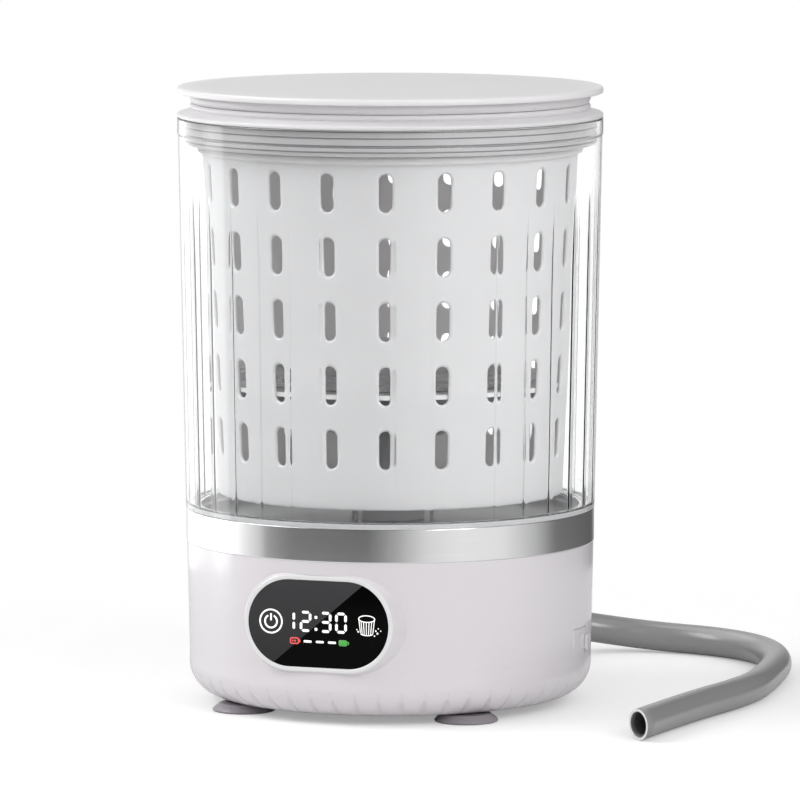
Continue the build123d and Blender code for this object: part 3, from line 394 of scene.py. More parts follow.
def brushed_effect():
    """Turned metal: hair lines round the upright axis, from noise on height and, very slowly,
    on the angle round the axis."""
    group, given, out = effect("turned_lines", 0.6, Lines=2600.0, Gloss=0.25, Spread=0.12)
    place = add(group, "SeparateXYZ", Vector=own_place(group))
    turn = add(group, "Math", "ARCTAN2", in_0=place.outputs["Y"], in_1=place.outputs["X"])
    slow = add(group, "Math", "MULTIPLY", in_0=turn.outputs[0], in_1=0.0006)
    along = add(group, "CombineXYZ", X=slow.outputs[0], Y=0.0, Z=place.outputs["Z"])
    hair = add(group, "TexNoise", Vector=along.outputs[0], Scale=given.outputs["Lines"], Detail=3.0)
    tint = blend(group, hair.outputs["Fac"], given.outputs["Tint"], given.outputs["Shade"])
    join(group, tint, out.inputs["Color"])
    vary_gloss(group, hair.outputs["Fac"], given, out)
    join(group, hair.outputs["Fac"], out.inputs["Height"])
    return group


moulded_skin = moulded_effect()
turned_lines = brushed_effect()
relief_depth = 0.0002


def finish(name, group, relief, values, **sockets):
    """Finish whose colour, gloss and fine relief come from a shared effect with its own values,
    and whose other sockets are plain numbers."""
    made, tree, shader = blank(name)
    look = tree.nodes.new("ShaderNodeGroup")
    look.node_tree = group
    for label, value in values.items():
        look.inputs[label].default_value = (*value, 1) if isinstance(value, tuple) else value
    join(tree, look.outputs["Color"], shader.inputs["Base Color"])
    join(tree, look.outputs["Roughness"], shader.inputs["Roughness"])
    bump = add(tree, "Bump", Height=look.outputs["Height"], Strength=relief, Distance=relief_depth)
    join(tree, bump.outputs["Normal"], shader.inputs["Normal"])
    for label, value in sockets.items():
        shader.inputs[label.replace("_", " ")].default_value = value
    return made


def moulded(name, tint, shade, gloss, grain=900.0, spread=0.08, relief=0.06, **sockets):
    """Plastic or rubber finish on the moulded skin."""
    values = {"Tint": tint, "Shade": shade, "Gloss": gloss, "Grain": grain, "Spread": spread}
    return finish(name, moulded_skin, relief, values, **sockets)


def metal(name, tint, shade, gloss, spread=0.12, relief=0.05):
    """Bare metal finish on the turned lines."""
    values = {"Tint": tint, "Shade": shade, "Gloss": gloss, "Spread": spread}
    return finish(name, turned_lines, relief, values, Metallic=1.0)


def clear(name, tint, through, gloss, ior):
    """Clear plastic: light bends through it, and lamps shine through it tinted by through."""
    made = moulded(name, tint, tuple(0.97 * v for v in tint), gloss, grain=300.0, spread=0.01,
                   relief=0.004, Transmission_Weight=1.0, IOR=ior)
    tree = made.node_tree
    rays = tree.nodes.new("ShaderNodeLightPath")
    open_air = add(tree, "BsdfTransparent", Color=(*through, 1))
    mixed = add(tree, "MixShader", in_0=rays.outputs["Is Shadow Ray"],
                in_1=tree.nodes["Principled BSDF"].outputs[0], in_2=open_air.outputs[0])
    join(tree, mixed.outputs[0], tree.nodes["Material Output"].inputs["Surface"])
    return made


milky = {"Subsurface_Scale": 0.006, "Subsurface_Radius": (1.0, 0.97, 0.97)}
shell_white = moulded("shell_white", (0.80, 0.766, 0.797), (0.78, 0.746, 0.777), 0.34, spread=0.05,
                      relief=0.04, Coat_Weight=0.8, Coat_Roughness=0.1, Specular_IOR_Level=1.0)
lid_white = moulded("lid_white", (0.84, 0.822, 0.838), (0.82, 0.802, 0.818), 0.34, spread=0.06,
                    Coat_Weight=0.12, Coat_Roughness=0.3, Subsurface_Weight=0.8, **milky)
basket_white = moulded("basket_white", (0.78, 0.77, 0.775), (0.76, 0.75, 0.755), 0.42, spread=0.06,
                       Subsurface_Weight=0.9, **milky)
drive_white = moulded("drive_white", (0.84, 0.835, 0.84), (0.80, 0.795, 0.80), 0.42)
tub_clear = clear("tub_clear", (0.985, 0.99, 0.992), (0.95, 0.955, 0.96), 0.015, 1.46)
# dark grey for the tub's base: painted shade for the space under the basket
tub_shade_grey = moulded("tub_shade_grey", (0.26, 0.26, 0.265), (0.23, 0.23, 0.235), 0.3)
hub_grey = moulded("hub_grey", (0.80, 0.80, 0.805), (0.76, 0.76, 0.765), 0.4)
bright_steel = metal("bright_steel", (0.90, 0.90, 0.91), (0.84, 0.84, 0.85), 0.42)
seal_grey = moulded("seal_grey", (0.61, 0.60, 0.605), (0.55, 0.54, 0.545), 0.5, relief=0.15)
lip_grey = moulded("lip_grey", (0.25, 0.25, 0.255), (0.20, 0.20, 0.205), 0.5, relief=0.15)
seal_dark = moulded("seal_dark", (0.05, 0.05, 0.055), (0.035, 0.035, 0.04), 0.55, relief=0.15)
foot_grey = moulded("foot_grey", (0.29, 0.265, 0.29), (0.30, 0.275, 0.30), 0.3, relief=0.1)
hose_grey = moulded("hose_grey", (0.285, 0.285, 0.29), (0.265, 0.265, 0.27), 0.3, spread=0.06,
                    relief=0.03, Coat_Weight=0.7, Coat_Roughness=0.16)
band_silver = metal("band_silver", (0.92, 0.92, 0.93), (0.84, 0.84, 0.85), 0.15, spread=0.08,
                    relief=0.03)
# white gloss of the display bezel; on the ledge ring and the hose's mouth it is a painted highlight
rim_bright = moulded("rim_bright", (0.86, 0.86, 0.865), (0.84, 0.84, 0.845), 0.2, spread=0.03,
                     relief=0.02, Coat_Weight=0.8, Coat_Roughness=0.08)
steel = metal("steel", (0.62, 0.63, 0.65), (0.50, 0.51, 0.53), 0.26)
brass = metal("brass", (0.76, 0.58, 0.27), (0.64, 0.46, 0.20), 0.30)
inner_grey = moulded("inner_grey", (0.19, 0.19, 0.20), (0.16, 0.16, 0.17), 0.5, relief=0.2)
natural = moulded("natural", (0.68, 0.64, 0.53), (0.62, 0.58, 0.47), 0.45)
board_green = moulded("board_green", (0.02, 0.11, 0.045), (0.012, 0.08, 0.03), 0.35, grain=400.0)
cell_wrap = moulded("cell_wrap", (0.02, 0.13, 0.22), (0.015, 0.11, 0.19), 0.3, spread=0.15)

dressing = {
    drive_white: "wash_plate basket_floor basket_nut",
    shell_white: "base_shell bottom_cover port_cover lid_cap lid_ring",
    basket_white: "basket",
    tub_clear: "tub",
    tub_shade_grey: "tub_base",
    hub_grey: "tub_hub",
    seal_grey: "lid_seal",
    seal_dark: "shaft_seal tub_gasket",
    foot_grey: "feet",
    band_silver: "trim_ring",
    rim_bright: "display_bezel",
    bright_steel: "spin_tube tub_screws",
    steel: "bearings motor_can motor_shaft wash_shaft wash_screw hinge_pin cover_screws"
    " foot_screws",
    brass: "pinion",
    inner_grey: "chassis_plate gear_case gear_cover motor_mount charge_socket battery_holder"
    " drain_elbow drain_outlet",
    natural: "driven_gear",
    board_green: "control_board display_board",
    cell_wrap: "battery_cells",
    hose_grey: "drain_hose",
}


def dress(name, look):
    """That finish alone on a node of the frame."""
    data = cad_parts[name].data
    data.materials.clear()
    data.materials.append(look)


for look, names in dressing.items():
    for name in names.split():
        dress(name, look)

# ---------------------------------------------------------------- hose


def line_frame(line):
    """Unit directions along a line, level and square to it, and square to both, at each point."""
    ahead = np.gradient(line, axis=0)
    ahead /= np.linalg.norm(ahead, axis=1)[:, None]
    aside = np.cross(ahead, (0, 0, 1.0))
    aside /= np.linalg.norm(aside, axis=1)[:, None]
    return ahead, aside, np.cross(aside, ahead)


def hose_tube(line, outer, bore):
    """Closed tube wall carried along a line: at each point the ring lies in the plane of the
    line's sideways direction and the direction square to it, outside out and bore back. Over
    its last stretch the ring leans, so that the end is cut aslant."""
    ahead, aside, over = line_frame(line)
    lip = 0.35
    angle = np.linspace(0, 2 * pi, 40, endpoint=False)
    last = len(line) - 1
    at = np.concatenate(([0, 0], np.arange(last + 1), [last, last], np.arange(last, -1, -1), [0]))
    push = np.zeros(len(at))
    size = np.concatenate(
        ([bore, outer - lip], np.full(last + 1, outer), [outer - lip, bore + lip],
         np.full(last + 1, bore), [bore])
    )
    push[2 + last] = -lip
    cosine, sine = np.cos(angle)[:, None], np.sin(angle)[:, None]
    ring = aside[at][:, None] * cosine + over[at][:, None] * sine
    to_end = np.linalg.norm(line - line[-1], axis=1)[at]
    slant = hose_slant * np.clip(1 - to_end / slant_run, 0, 1)
    along = push[:, None] + slant[:, None] * size[:, None] * np.cos(angle)
    grid = line[at][:, None] + ahead[at][:, None] * along[..., None] + ring * size[:, None, None]
    return grid, quads(len(at), len(angle), True, True)


def hose_bead(line, middle, width, height):
    """Closed bead on the hose's slanted mouth: at each point round the end, an ellipse of that
    half width across the wall and half height along the hose, round the wall's middle."""
    ahead, aside, over = (directions[-1] for directions in line_frame(line))
    angle = np.linspace(0, 2 * pi, 80, endpoint=False)
    lean = np.linspace(0, 2 * pi, 12, endpoint=False)[:, None]
    size = middle + width * np.cos(lean)
    along = hose_slant * size * np.cos(angle) + height * np.sin(lean)
    ring = aside * np.cos(angle)[:, None] + over * np.sin(angle)[:, None]
    grid = line[-1] + ahead * along[..., None] + ring * size[..., None]
    return grid, quads(len(lean), len(angle), True, True)


hose_line = smooth_line(hose_route, 14)
drain_hose = skin("hose", [hose_tube(hose_line, hose_radius, hose_bore)], hose_grey, "machine",
                  ["drain_hose"])
# pale bead on the hose's mouth: a painted highlight for the lit rim of its cut end
mouth_highlight = hose_bead(hose_line, middle=8.2, width=0.72, height=0.25)
hose_mouth_highlight = skin("hose_mouth_highlight", [mouth_highlight], rim_bright, "machine")

# ---------------------------------------------------------------- lid

inside = neck_radius - lid_wall
cap_outline = soft_outline(
    [
        (0, lid_top, 0),
        (lid_radius, lid_top, 1.9),
        (lid_radius, lid_disc_low, 1.2),
        (neck_radius - 0.3, lid_disc_low, 0.25),
        (neck_radius + 1.1, lid_disc_low - 2.7, 1.8),
        (neck_radius - 0.3, upper_bead_low + 0.35, 0.2),
        (inside, upper_bead_low + 0.35, 0.2),
        (inside, lid_top - 2.9, 0.8),
        (0, lid_top - 2.9, 0),
    ],
    closed=False,
)
skin("lid_disc", [turned(cap_outline, closed=False)], lid_white, "lid", ["lid_cap"])

ring_outline = soft_outline(
    [
        (inside, upper_bead_low, 0.2),
        (neck_radius - 0.3, upper_bead_low, 0.15),
        (neck_radius + 1.0, upper_bead_low - 1.7, 1.0),
        (neck_radius - 0.3, lower_bead_low, 0.4),
        (lid_radius, flange_top, 0.7),
        (lid_radius, lid_low, 0.6),
        (skirt_radius, lid_low, 0.3),
        (skirt_radius, tub_top - 15.2, 0.9),
        (skirt_radius - lid_wall, tub_top - 15.2, 0.9),
        (skirt_radius - lid_wall, lid_low, 1.0),
        (inside, lower_bead_low - 1.0, 0.5),
    ]
)
skin("lid_flange", [turned(ring_outline)], lid_white, "lid", ["lid_ring"])

sleeve_out = skirt_radius + 0.6
sleeve_corners = [
    (skirt_radius + 0.05, tub_top - 14.4, 0.1),
    (skirt_radius + 0.05, lid_low - 1.0, 0.1),
    (sleeve_out, lid_low - 1.0, 0.2),
    (sleeve_out, tub_top - 14.4, 0.2),
]
skin("seal_sleeve", [turned(soft_outline(sleeve_corners, guard=0.1))], seal_grey, "lid",
     ["lid_seal"])
lips = []
for depth in (0.9, 4.6, 8.9, 12.6):
    level = tub_top - depth
    lip_corners = [
        (sleeve_out - 0.1, level + 0.4, 0.05),
        (sleeve_out + 0.7, level + 0.15, 0.12),
        (sleeve_out + 0.7, level - 0.15, 0.12),
        (sleeve_out - 0.1, level - 0.4, 0.05),
    ]
    lips.append(turned(soft_outline(lip_corners, steps=3, guard=0.1)))
skin("seal_lips", lips, lip_grey, "lid")

# ---------------------------------------------------------------- tub


def tub_grid():
    """Clear tub: a closed half section carried round. A rib of the inner wall pushes it
    inwards by rise * (1 + cos(pi * offset / half width)) / 2, where offset is the angle from
    the rib's middle, and rise and width fade to nothing at the top. The outer wall has a bar
    in front that rises over 0.7 degrees at its ends and over 0.3 mm at its long sides."""
    inner_foot = tub_radius(ledge_top) - tub_wall
    inner_top = tub_radius(tub_top) - tub_wall
    spring = tub_top - 10.0
    outline = soft_outline(
        [
            (plug_radius - 2.5, tub_floor_top, 0.3),
            (plug_radius, tub_floor_top, 0.3),
            (plug_radius, band_top, 0.2),
            (tub_radius(band_top), band_top, 0.5),
            (tub_radius(spring), spring, 0.5),
            (tub_radius(spring) + 0.5, spring + 0.5, 0.3),
            (tub_radius(spring) + 0.5, tub_top, 0.7),
            (inner_top, tub_top, 0.7),
            (inner_foot, ledge_top, 1.6),
            (plug_radius - 2.5, ledge_top, 0.6),
        ],
        steps=4,
    )
    # more rows along the two tall walls, close together at the mark and at the tips of the ribs
    tall = np.flatnonzero(np.abs(np.diff(outline[:, 1], append=outline[0, 1])) > 100)
    outer_levels = np.concatenate(
        (np.linspace(130, 300, 8), [311.9, 312.2, 314.2, 314.5], np.linspace(320, 333, 3))
    )
    inner_levels = np.concatenate(
        (np.linspace(340, 306, 5), np.linspace(303, 262, 26), np.linspace(256, 122, 8))
    )
    rows, at = [], 0
    for index, levels in zip(tall, (outer_levels, inner_levels)):
        rows.append(outline[at : index + 1])
        low, high = outline[index], outline[index + 1]
        share = ((levels - low[1]) / (high[1] - low[1]))[:, None]
        rows.append(low + (high - low) * share)
        at = index + 1
    rows.append(outline[at:])
    outline = np.concatenate(rows)
    pitch = 360 / rib_count
    half = np.array([0.26, 0.52, 0.78, 1.04, 1.3, 1.7, 3.2])
    offset = np.concatenate(([-pitch / 2], -half[::-1], [0.0], half))
    angle = np.radians((rib_turn - 90 + np.arange(rib_count)[:, None] * pitch + offset).ravel())
    from_rib = np.tile(offset, rib_count)
    r, z = outline[:, :1], outline[:, 1:2]
    wall = (r < tub_radius(z) - 1.8) & (z > ledge_top + 0.3) & (z < tub_top - 3)
    fade = np.clip((rib_top - z) / 40.0, 0, 1)
    foot = np.clip((z - ledge_top) / 1.2, 0, 1)
    half_width = 0.1 + 1.25 * fade**0.7
    bump = 0.5 + 0.5 * np.cos(pi * np.clip(from_rib / half_width, -1, 1))
    rib = rib_rise * bump * fade**0.5 * foot * wall
    front = np.degrees(np.arctan2(np.cos(angle), -np.sin(angle)))
    bar = np.clip((mark_half_turn - abs(front)) / 0.7, 0, 1)
    bar = bar * np.clip((mark_half_height - abs(z - mark_level)) / 0.3, 0, 1)
    outer = (r > tub_radius(z) - 0.3) & (z > ledge_top) & (z < spring)
    reach = r - rib + mark_rise * bar * outer
    return around(reach, angle, z), quads(len(outline), len(angle), True, True)


skin("clear_tub", [tub_grid()], tub_clear, "machine", ["tub"])

# ---------------------------------------------------------------- silver band

band_outline = soft_outline(
    [
        (band_radius - 2.2, base_top, 0.2),
        (band_radius, base_top, 0.55),
        (band_radius, band_top, 0.55),
        (band_radius - 2.2, band_top, 0.2),
    ]
)
skin("silver_band", [turned(band_outline)], band_silver, "machine", ["trim_ring"])

# pale glossy ring inside the clear tub's ledge: a painted highlight for the bright refraction at
# the tub's foot
ledge_highlight_outline = soft_outline(
    [
        (plug_radius - 2.45, 115.6, 0.2),
        (plug_radius - 2.45, 118.3, 0.5),
        (plug_radius - 3.7, 118.0, 0.6),
        (plug_radius - 3.7, 115.6, 0.4),
    ],
    guard=0.1,
)
skin("ledge_highlight", [turned(ledge_highlight_outline)], rim_bright, "machine")

# ---------------------------------------------------------------- basket


def opening_cell(low, high, half_turn, outline_half, rounding, edge_points):
    """Border of a cell with a rounded opening in its middle, and the way from it to the opening.
    Each border point has a core point, its own height clamped to the opening's straight middle
    line, and the outline lies rounding away from the core towards the border point. Gives
    border points, core points and unit directions from core to border, as (aside, up)."""
    side = np.linspace(-1, 1, edge_points + 1)
    across, up = side * half_turn, low + (side + 1) / 2 * (high - low)
    border = np.concatenate(
        (
            np.stack((across[:-1], np.full(edge_points, low)), -1),
            np.stack((np.full(edge_points, half_turn), up[:-1]), -1),
            np.stack((across[:0:-1], np.full(edge_points, high)), -1),
            np.stack((np.full(edge_points, -half_turn), up[:0:-1]), -1),
        )
    )
    core = border * 0
    core[:, 1] = np.clip(border[:, 1], -outline_half + rounding, outline_half - rounding)
    away = border - core
    away /= np.linalg.norm(away, axis=1)[:, None]
    return border, core, away


def basket_parts():
    """Basket wall: 20 by 5 cells, each a sleeve of rings that runs from its border over the
    outer face to the slot's rounded rim, through the wall and back over the inner face, with
    a drafted radius less the depth of the ring; plus the bands above and below and the rim."""
    half_turn = pi / slot_columns
    edge_points = 14
    parts = []
    wall = basket_wall
    # rings round the slot's rim as (growth of the slot, depth)
    rim_rings = [(1.3, 0), (1.12, 0.06), (0.16, 0.72), (0, 0.9), (0, 1.02), (0, wall - 0.55),
                 (0, wall - 0.42), (0.12, wall - 0.18), (0.45, wall)]
    # all rings as (share of the way from the slot's edge to the border, growth, depth)
    stations = [(share, 0, 0) for share in (1.0, 0.55, 0.25, 0.06)]
    stations += [(0, growth, depth) for growth, depth in rim_rings]
    stations += [(share, 0, wall) for share in (0.06, 0.25, 0.55, 1.0)]
    share, growth, depth = (np.array(v, float)[:, None, None] for v in zip(*stations))
    ring_quads = quads(len(stations), 4 * edge_points, False, True)
    rim_low = basket_top - 5.2
    turns = np.radians(slot_turn - 90 + 360 * np.arange(slot_columns) / slot_columns)
    for row in range(slot_rows):
        middle = slot_first + row * slot_pitch
        low = -slot_pitch / 2
        high = slot_pitch / 2 if row < slot_rows - 1 else rim_low - middle
        radius = basket_radius(middle)
        border, core, away = opening_cell(
            low, high, half_turn * radius, slot_length / 2, slot_width / 2, edge_points
        )
        rounding = slot_width / 2 + growth
        edge = core + away * (slot_width / 2 + slot_margin)
        place = np.where(share > 0, edge + (border - edge) * share, core + away * rounding)
        aside = place[..., 0] / radius
        height = middle + place[..., 1]
        reach = basket_radius(height) - depth[..., 0]
        grid = around(reach, turns[:, None, None] + aside, height)
        shift = (np.arange(slot_columns) * len(stations) * len(border))[:, None, None]
        parts.append((grid, (ring_quads[None] + shift).reshape(-1, 4)))
    steps = np.linspace(0, 2 * half_turn, edge_points, endpoint=False)
    columns = (turns[:, None] - half_turn + steps).ravel()

    def band(outline):
        """Band of the wall through (r, z) points, on the same columns as the cells."""
        r, z = np.array(outline).T[..., None]
        return around(r, columns, z), quads(len(outline), len(columns), False, True)

    cells_low = slot_first - slot_pitch / 2
    foot, knee = basket_low, basket_low + 6
    foot_r, knee_r, cells_r = (basket_radius(height) for height in (foot, knee, cells_low))
    foot_band = [
        (cells_r, cells_low),
        (knee_r, knee),
        (foot_r, foot + 1.0),
        (foot_r - 0.15, foot + 0.45),
        (foot_r - 0.5, foot + 0.1),
        (foot_r - 0.8, foot),
        (foot_r - wall + 0.4, foot),
        (foot_r - wall, foot + 0.4),
        (knee_r - wall, knee),
        (cells_r - wall, cells_low),
    ]
    top = basket_top
    rim_r = basket_radius(top - 4) + basket_rim
    neck_r, top_r = basket_radius(rim_low), basket_radius(top) - wall
    rim_band = [
        (neck_r, rim_low),
        (neck_r + 0.1, rim_low + 0.15),
        (rim_r - 0.4, top - 4.0),
        (rim_r, top - 3.5),
        (rim_r, top - 3.3),
        (rim_r, top - 1.0),
        (rim_r - 0.15, top - 0.4),
        (rim_r - 0.7, top),
        (rim_r - 1.0, top),
        (top_r + 0.8, top),
        (top_r + 0.2, top - 0.2),
        (top_r, top - 0.8),
        (neck_r - wall, rim_low),
    ]
    return parts + [band(foot_band), band(rim_band)]


skin("slotted_basket", basket_parts(), basket_white, "basket", ["basket"])

# ---------------------------------------------------------------- feet

foot_outline = soft_outline(
    [
        (2.0, 5.2, 0.1),
        (2.0, 3.0, 0.1),
        (3.1, 3.0, 0.1),
        (3.1, 1.2, 0.2),
        (12.8, 1.2, 0.4),
        (14.0, 0.0, 0.3),
        (18.0, 0.0, 0.6),
        (18.75, 0.9, 0.5),
        (17.6, 2.2, 0.9),
        (14.2, 4.8, 0.5),
        (5.2, 4.8, 0.2),
        (5.2, 5.2, 0.1),
    ],
    guard=0.1,
)
foot_circle = 96.3
foot_turns = [radians(a + 2.5) for a in (45, 135, 225, 315)]
foot_places = [(foot_circle * cos(a), foot_circle * sin(a)) for a in foot_turns]
skin("soft_feet", [turned(foot_outline, 96, centre=place) for place in foot_places], foot_grey,
     "machine", ["feet"])

# ---------------------------------------------------------------- fluted corner


def ease(value, start, end):
    """Smooth rise 3t^2 - 2t^3 of a value from 0 at start to 1 at end."""
    t = np.clip((value - start) / (end - start), 0, 1)
    return t * t * (3 - 2 * t)


def corner_grid():
    """Skin over the base's lower corner. Its first rows lie on the plain wall above the corner,
    the others down its quarter round by the angle a, and a point lies beside the middle of its
    flute by u. The skin stands proud by rise, less the flute's depth * ease(1 - |u| / width).
    Rise starts a little inside the wall, and width is least at the flute's pointed top. The
    inner side is a plain quarter round inside the wall, so that the skin is closed."""
    above = np.array([13.0, 11, 9, 7, 5, 3, 1.5])
    down = np.concatenate((np.linspace(0, 24, 15), np.linspace(26, 87, 22)))
    z = np.concatenate((corner_top + above, corner_top - corner_radius * np.sin(np.radians(down))))
    foot = base_radius(corner_top) - corner_radius
    round_reach = foot + corner_radius * np.cos(np.radians(down))
    reach = np.concatenate((base_radius(corner_top + above), round_reach))
    a = np.concatenate((0 * above, np.radians(down)))
    run = np.concatenate((-above, corner_radius * np.radians(down)))
    angle = np.degrees(a)
    rise = -0.16 + 0.44 * ease(run, -13, 4) * (1 - 0.85 * ease(angle, 70, 87))
    depth = 0.3 * ease(angle, 10, 15) + 0.75 * ease(angle, 25, 36)
    depth *= 1 - 0.93 * ease(angle, 50, 74)
    width = 0.12 + 2.6 * np.clip((angle - 9) / 36, 0, 1) ** 0.7
    side = np.array([0.05, 0.25, 0.5, 0.75, 1.0])
    pitch = 2 * pi / flute_count
    reach, rise, depth, width = (v[:, None] for v in (reach, rise, depth, width))
    u = np.concatenate((-0.5 * pitch * reach, -0.4 * pitch * reach, -0.3 * pitch * reach), 1)
    u = np.concatenate((u, -side[::-1] * width, 0 * width, side * width, -u[:, :0:-1]), 1)
    proud = rise - depth * ease(1 - abs(u) / width, 0, 1)
    turn = (u / reach)[:, None, :] + (np.arange(flute_count) * pitch)[:, None]
    turn = turn.reshape(len(z), -1)
    proud = np.tile(proud[:, None, :], (1, flute_count, 1)).reshape(len(z), -1)
    r = reach + proud * np.cos(a)[:, None]
    height = z[:, None] - proud * np.sin(a)[:, None]
    outer = around(r, turn, height)
    # the inner side goes back up by some of the outer side's rows
    back = np.array([36, 30, 24, 18, 12, 6, 0])
    inset = 1.2
    r = reach - inset * np.cos(a)[:, None]
    height = (z + inset * np.sin(a))[:, None]
    grid = np.concatenate((outer, around(r[back], turn[back], height[back])))
    return grid, quads(len(grid), grid.shape[1], True, True)


skin("fluted_corner", [corner_grid()], shell_white, "machine")

# ---------------------------------------------------------------- display


def bezel_parts():
    """Bezel: a half round section carried along a pill outline and closed at its back."""
    count = 192
    middle = bezel_width / 2
    points, normal = pill(glass_length - bezel_over_length, glass_width - bezel_over_width, count)
    bow = np.linspace(0, pi, 11)
    out = np.concatenate(([0, 0], middle - middle * np.cos(bow), [bezel_width, bezel_width]))
    rise = np.concatenate(([-0.6, -0.05], 0.05 + 0.85 * np.sin(bow) ** 0.8, [-0.05, -0.6]))
    flat = points + normal * out[:, None, None]
    grid = in_front(flat[..., 0], (display_reach + rise)[:, None], flat[..., 1])
    return [(grid, quads(len(out), count, True, True))]


skin("bright_bezel", bezel_parts(), rim_bright, "machine", ["display_bezel"])


def panel_glass():
    """Black display glass with a painted reflection: a broad soft lighter grey base colour above a
    slanting edge.
    The edge is the line 0.761 * z - 0.649 * x = 0.0461, and the painted reflection grows with
    height."""
    made, tree, shader = blank("panel_glass")
    where = own_place(tree)
    place = add(tree, "SeparateXYZ", Vector=where)
    x = add(tree, "Math", "MULTIPLY", in_0=place.outputs["X"], in_1=-0.649)
    slant = add(tree, "Math", "MULTIPLY_ADD", in_0=place.outputs["Z"], in_1=0.761,
                in_2=x.outputs[0])
    level = add(tree, "Math", "SUBTRACT", in_0=slant.outputs[0], in_1=0.0461)
    edge = add(tree, "MapRange", Value=level.outputs[0], From_Min=-0.00015, From_Max=0.00015)
    reflection_fall = add(tree, "MapRange", Value=place.outputs["Z"], From_Min=0.034, From_Max=0.088,
               To_Min=0.6, To_Max=1.0)
    painted_reflection = add(tree, "Math", "MULTIPLY", in_0=edge.outputs[0], in_1=reflection_fall.outputs[0])
    # painted reflection: the base colour is black below the edge and grey above it, lighter higher
    # up
    tone = ramp(tree, painted_reflection.outputs[0], [(0.0, 0.0015), (1.0, (0.062, 0.061, 0.064))])
    join(tree, tone, shader.inputs["Base Color"])
    smear = add(tree, "TexNoise", Vector=where, Scale=60.0, Detail=3.0)
    gloss = add(tree, "MapRange", Value=smear.outputs["Fac"], To_Min=0.06, To_Max=0.12)
    join(tree, gloss.outputs[0], shader.inputs["Roughness"])
    shader.inputs["Specular IOR Level"].default_value = 0.06
    return made


def lit_sign(name, colour, power):
    """Lit sign behind the glass: its colour varies a little over the dots of the lamp."""
    made = moulded(name, colour, tuple(0.9 * v for v in colour), 0.4)
    tree = made.node_tree
    shader = tree.nodes["Principled BSDF"]
    glow = add(tree, "TexNoise", Vector=own_place(tree), Scale=700.0, Detail=1.0)
    dimmer = tuple(0.82 * v for v in colour)
    tone = ramp(tree, glow.outputs["Fac"], [(0.3, dimmer), (0.7, colour)])
    join(tree, tone, shader.inputs["Emission Color"])
    shader.inputs["Emission Strength"].default_value = power
    return made


dress("display_glass", panel_glass())
sign_white = lit_sign("sign_white", (0.86, 0.87, 0.84), 0.75)
sign_red = lit_sign("sign_red", (0.72, 0.09, 0.08), 0.65)
sign_green = lit_sign("sign_green", (0.07, 0.32, 0.065), 0.6)


sign_rise = 0.09


def slab(u, w):
    """Thin closed tile on the glass from an outline of u and w, with its middle as a pole."""
    u, w = np.asarray(u, float), np.asarray(w, float)
    middle_u, middle_w = u.mean(), w.mean()
    size = np.array([0, 1, 1, 0])[:, None]
    rise = np.array([0, 0, sign_rise, sign_rise])[:, None]
    x = middle_u + (u - middle_u) * size
    z = middle_w + (w - middle_w) * size
    return in_front(x, glass_face + rise, z), quads(4, len(u), False, True)


def stroke(u, w, width, closed=False):
    """Thin closed ribbon of that width along a line of u and w, flat on the glass."""
    line = np.stack((u, w), -1).astype(float)
    if closed:
        ahead = np.roll(line, -1, 0) - np.roll(line, 1, 0)
    else:
        ahead = np.gradient(line, axis=0)
    ahead /= np.hypot(*ahead.T)[:, None]
    aside = np.stack((ahead[:, 1], -ahead[:, 0]), -1) * width / 2
    flat = np.stack((line - aside, line + aside, line + aside, line - aside))
    rise = np.array([0, 0, sign_rise, sign_rise])[:, None]
    grid = in_front(flat[..., 0], glass_face + rise, flat[..., 1])
    if not closed:
        ends = grid.copy()
        ends[:, [0, -1]] = grid.mean(0)[[0, -1]]
        grid = np.concatenate((ends[:, :1], grid, ends[:, -1:]), 1)
    return grid, quads(4, grid.shape[1], True, closed)


def oval(u, w, across, up, start, end, count):
    """Part of an oval about (u, w) with those half measures, between two angles in degrees that
    go from +u towards +w."""
    a = np.radians(np.linspace(start, end, count))
    return u + across * np.cos(a), w + up * np.sin(a)


def arc(u, w, radius, start, end, count=33):
    """Part of a circle."""
    return oval(u, w, radius, radius, start, end, count)


# middles and uprightness of a digit's seven bars, in shares of its width and height:
# top, upper right, lower right, bottom, lower left, upper left and middle
bars = ((0, 0.5, 0), (0.5, 0.25, 1), (0.5, -0.25, 1), (0, -0.5, 0), (-0.5, -0.25, 1),
        (-0.5, 0.25, 1), (0, 0, 0))
lit_bars = {1: (1, 2), 2: (0, 1, 6, 4, 3), 3: (0, 1, 6, 2, 3), 0: (0, 1, 2, 3, 4, 5)}


def digit(number, u, w, width=5.6, height=10.6, thick=1.6):
    """Bars of one digit. A bar is a hexagon: straight sides and a point at either end."""
    tiles = []
    for index in lit_bars[number]:
        du, dw, upright = bars[index]
        length = (height / 2 if upright else width) - 0.8
        half, t = length / 2, thick / 2
        along = np.array([-half, -half + t, half - t, half, half - t, -half + t])
        across = np.array([0, t, t, 0, -t, -t])
        beside, above = (across, along) if upright else (along, across)
        tiles.append(slab(u + du * width + beside, w + dw * height + above))
    return tiles


def dot(u, w, half):
    """Square dot with cut corners."""
    cut = 0.6 * half
    return slab(u + np.array([-half, -cut, cut, half, half, cut, -cut, -half]),
                w + np.array([-cut, -half, -half, -cut, cut, half, half, cut]))


def soft_bar(u, w, length, width, count=32):
    """Filled pill."""
    points, _ = pill(length, width, count)
    return slab(u + points[:, 0], w + points[:, 1])


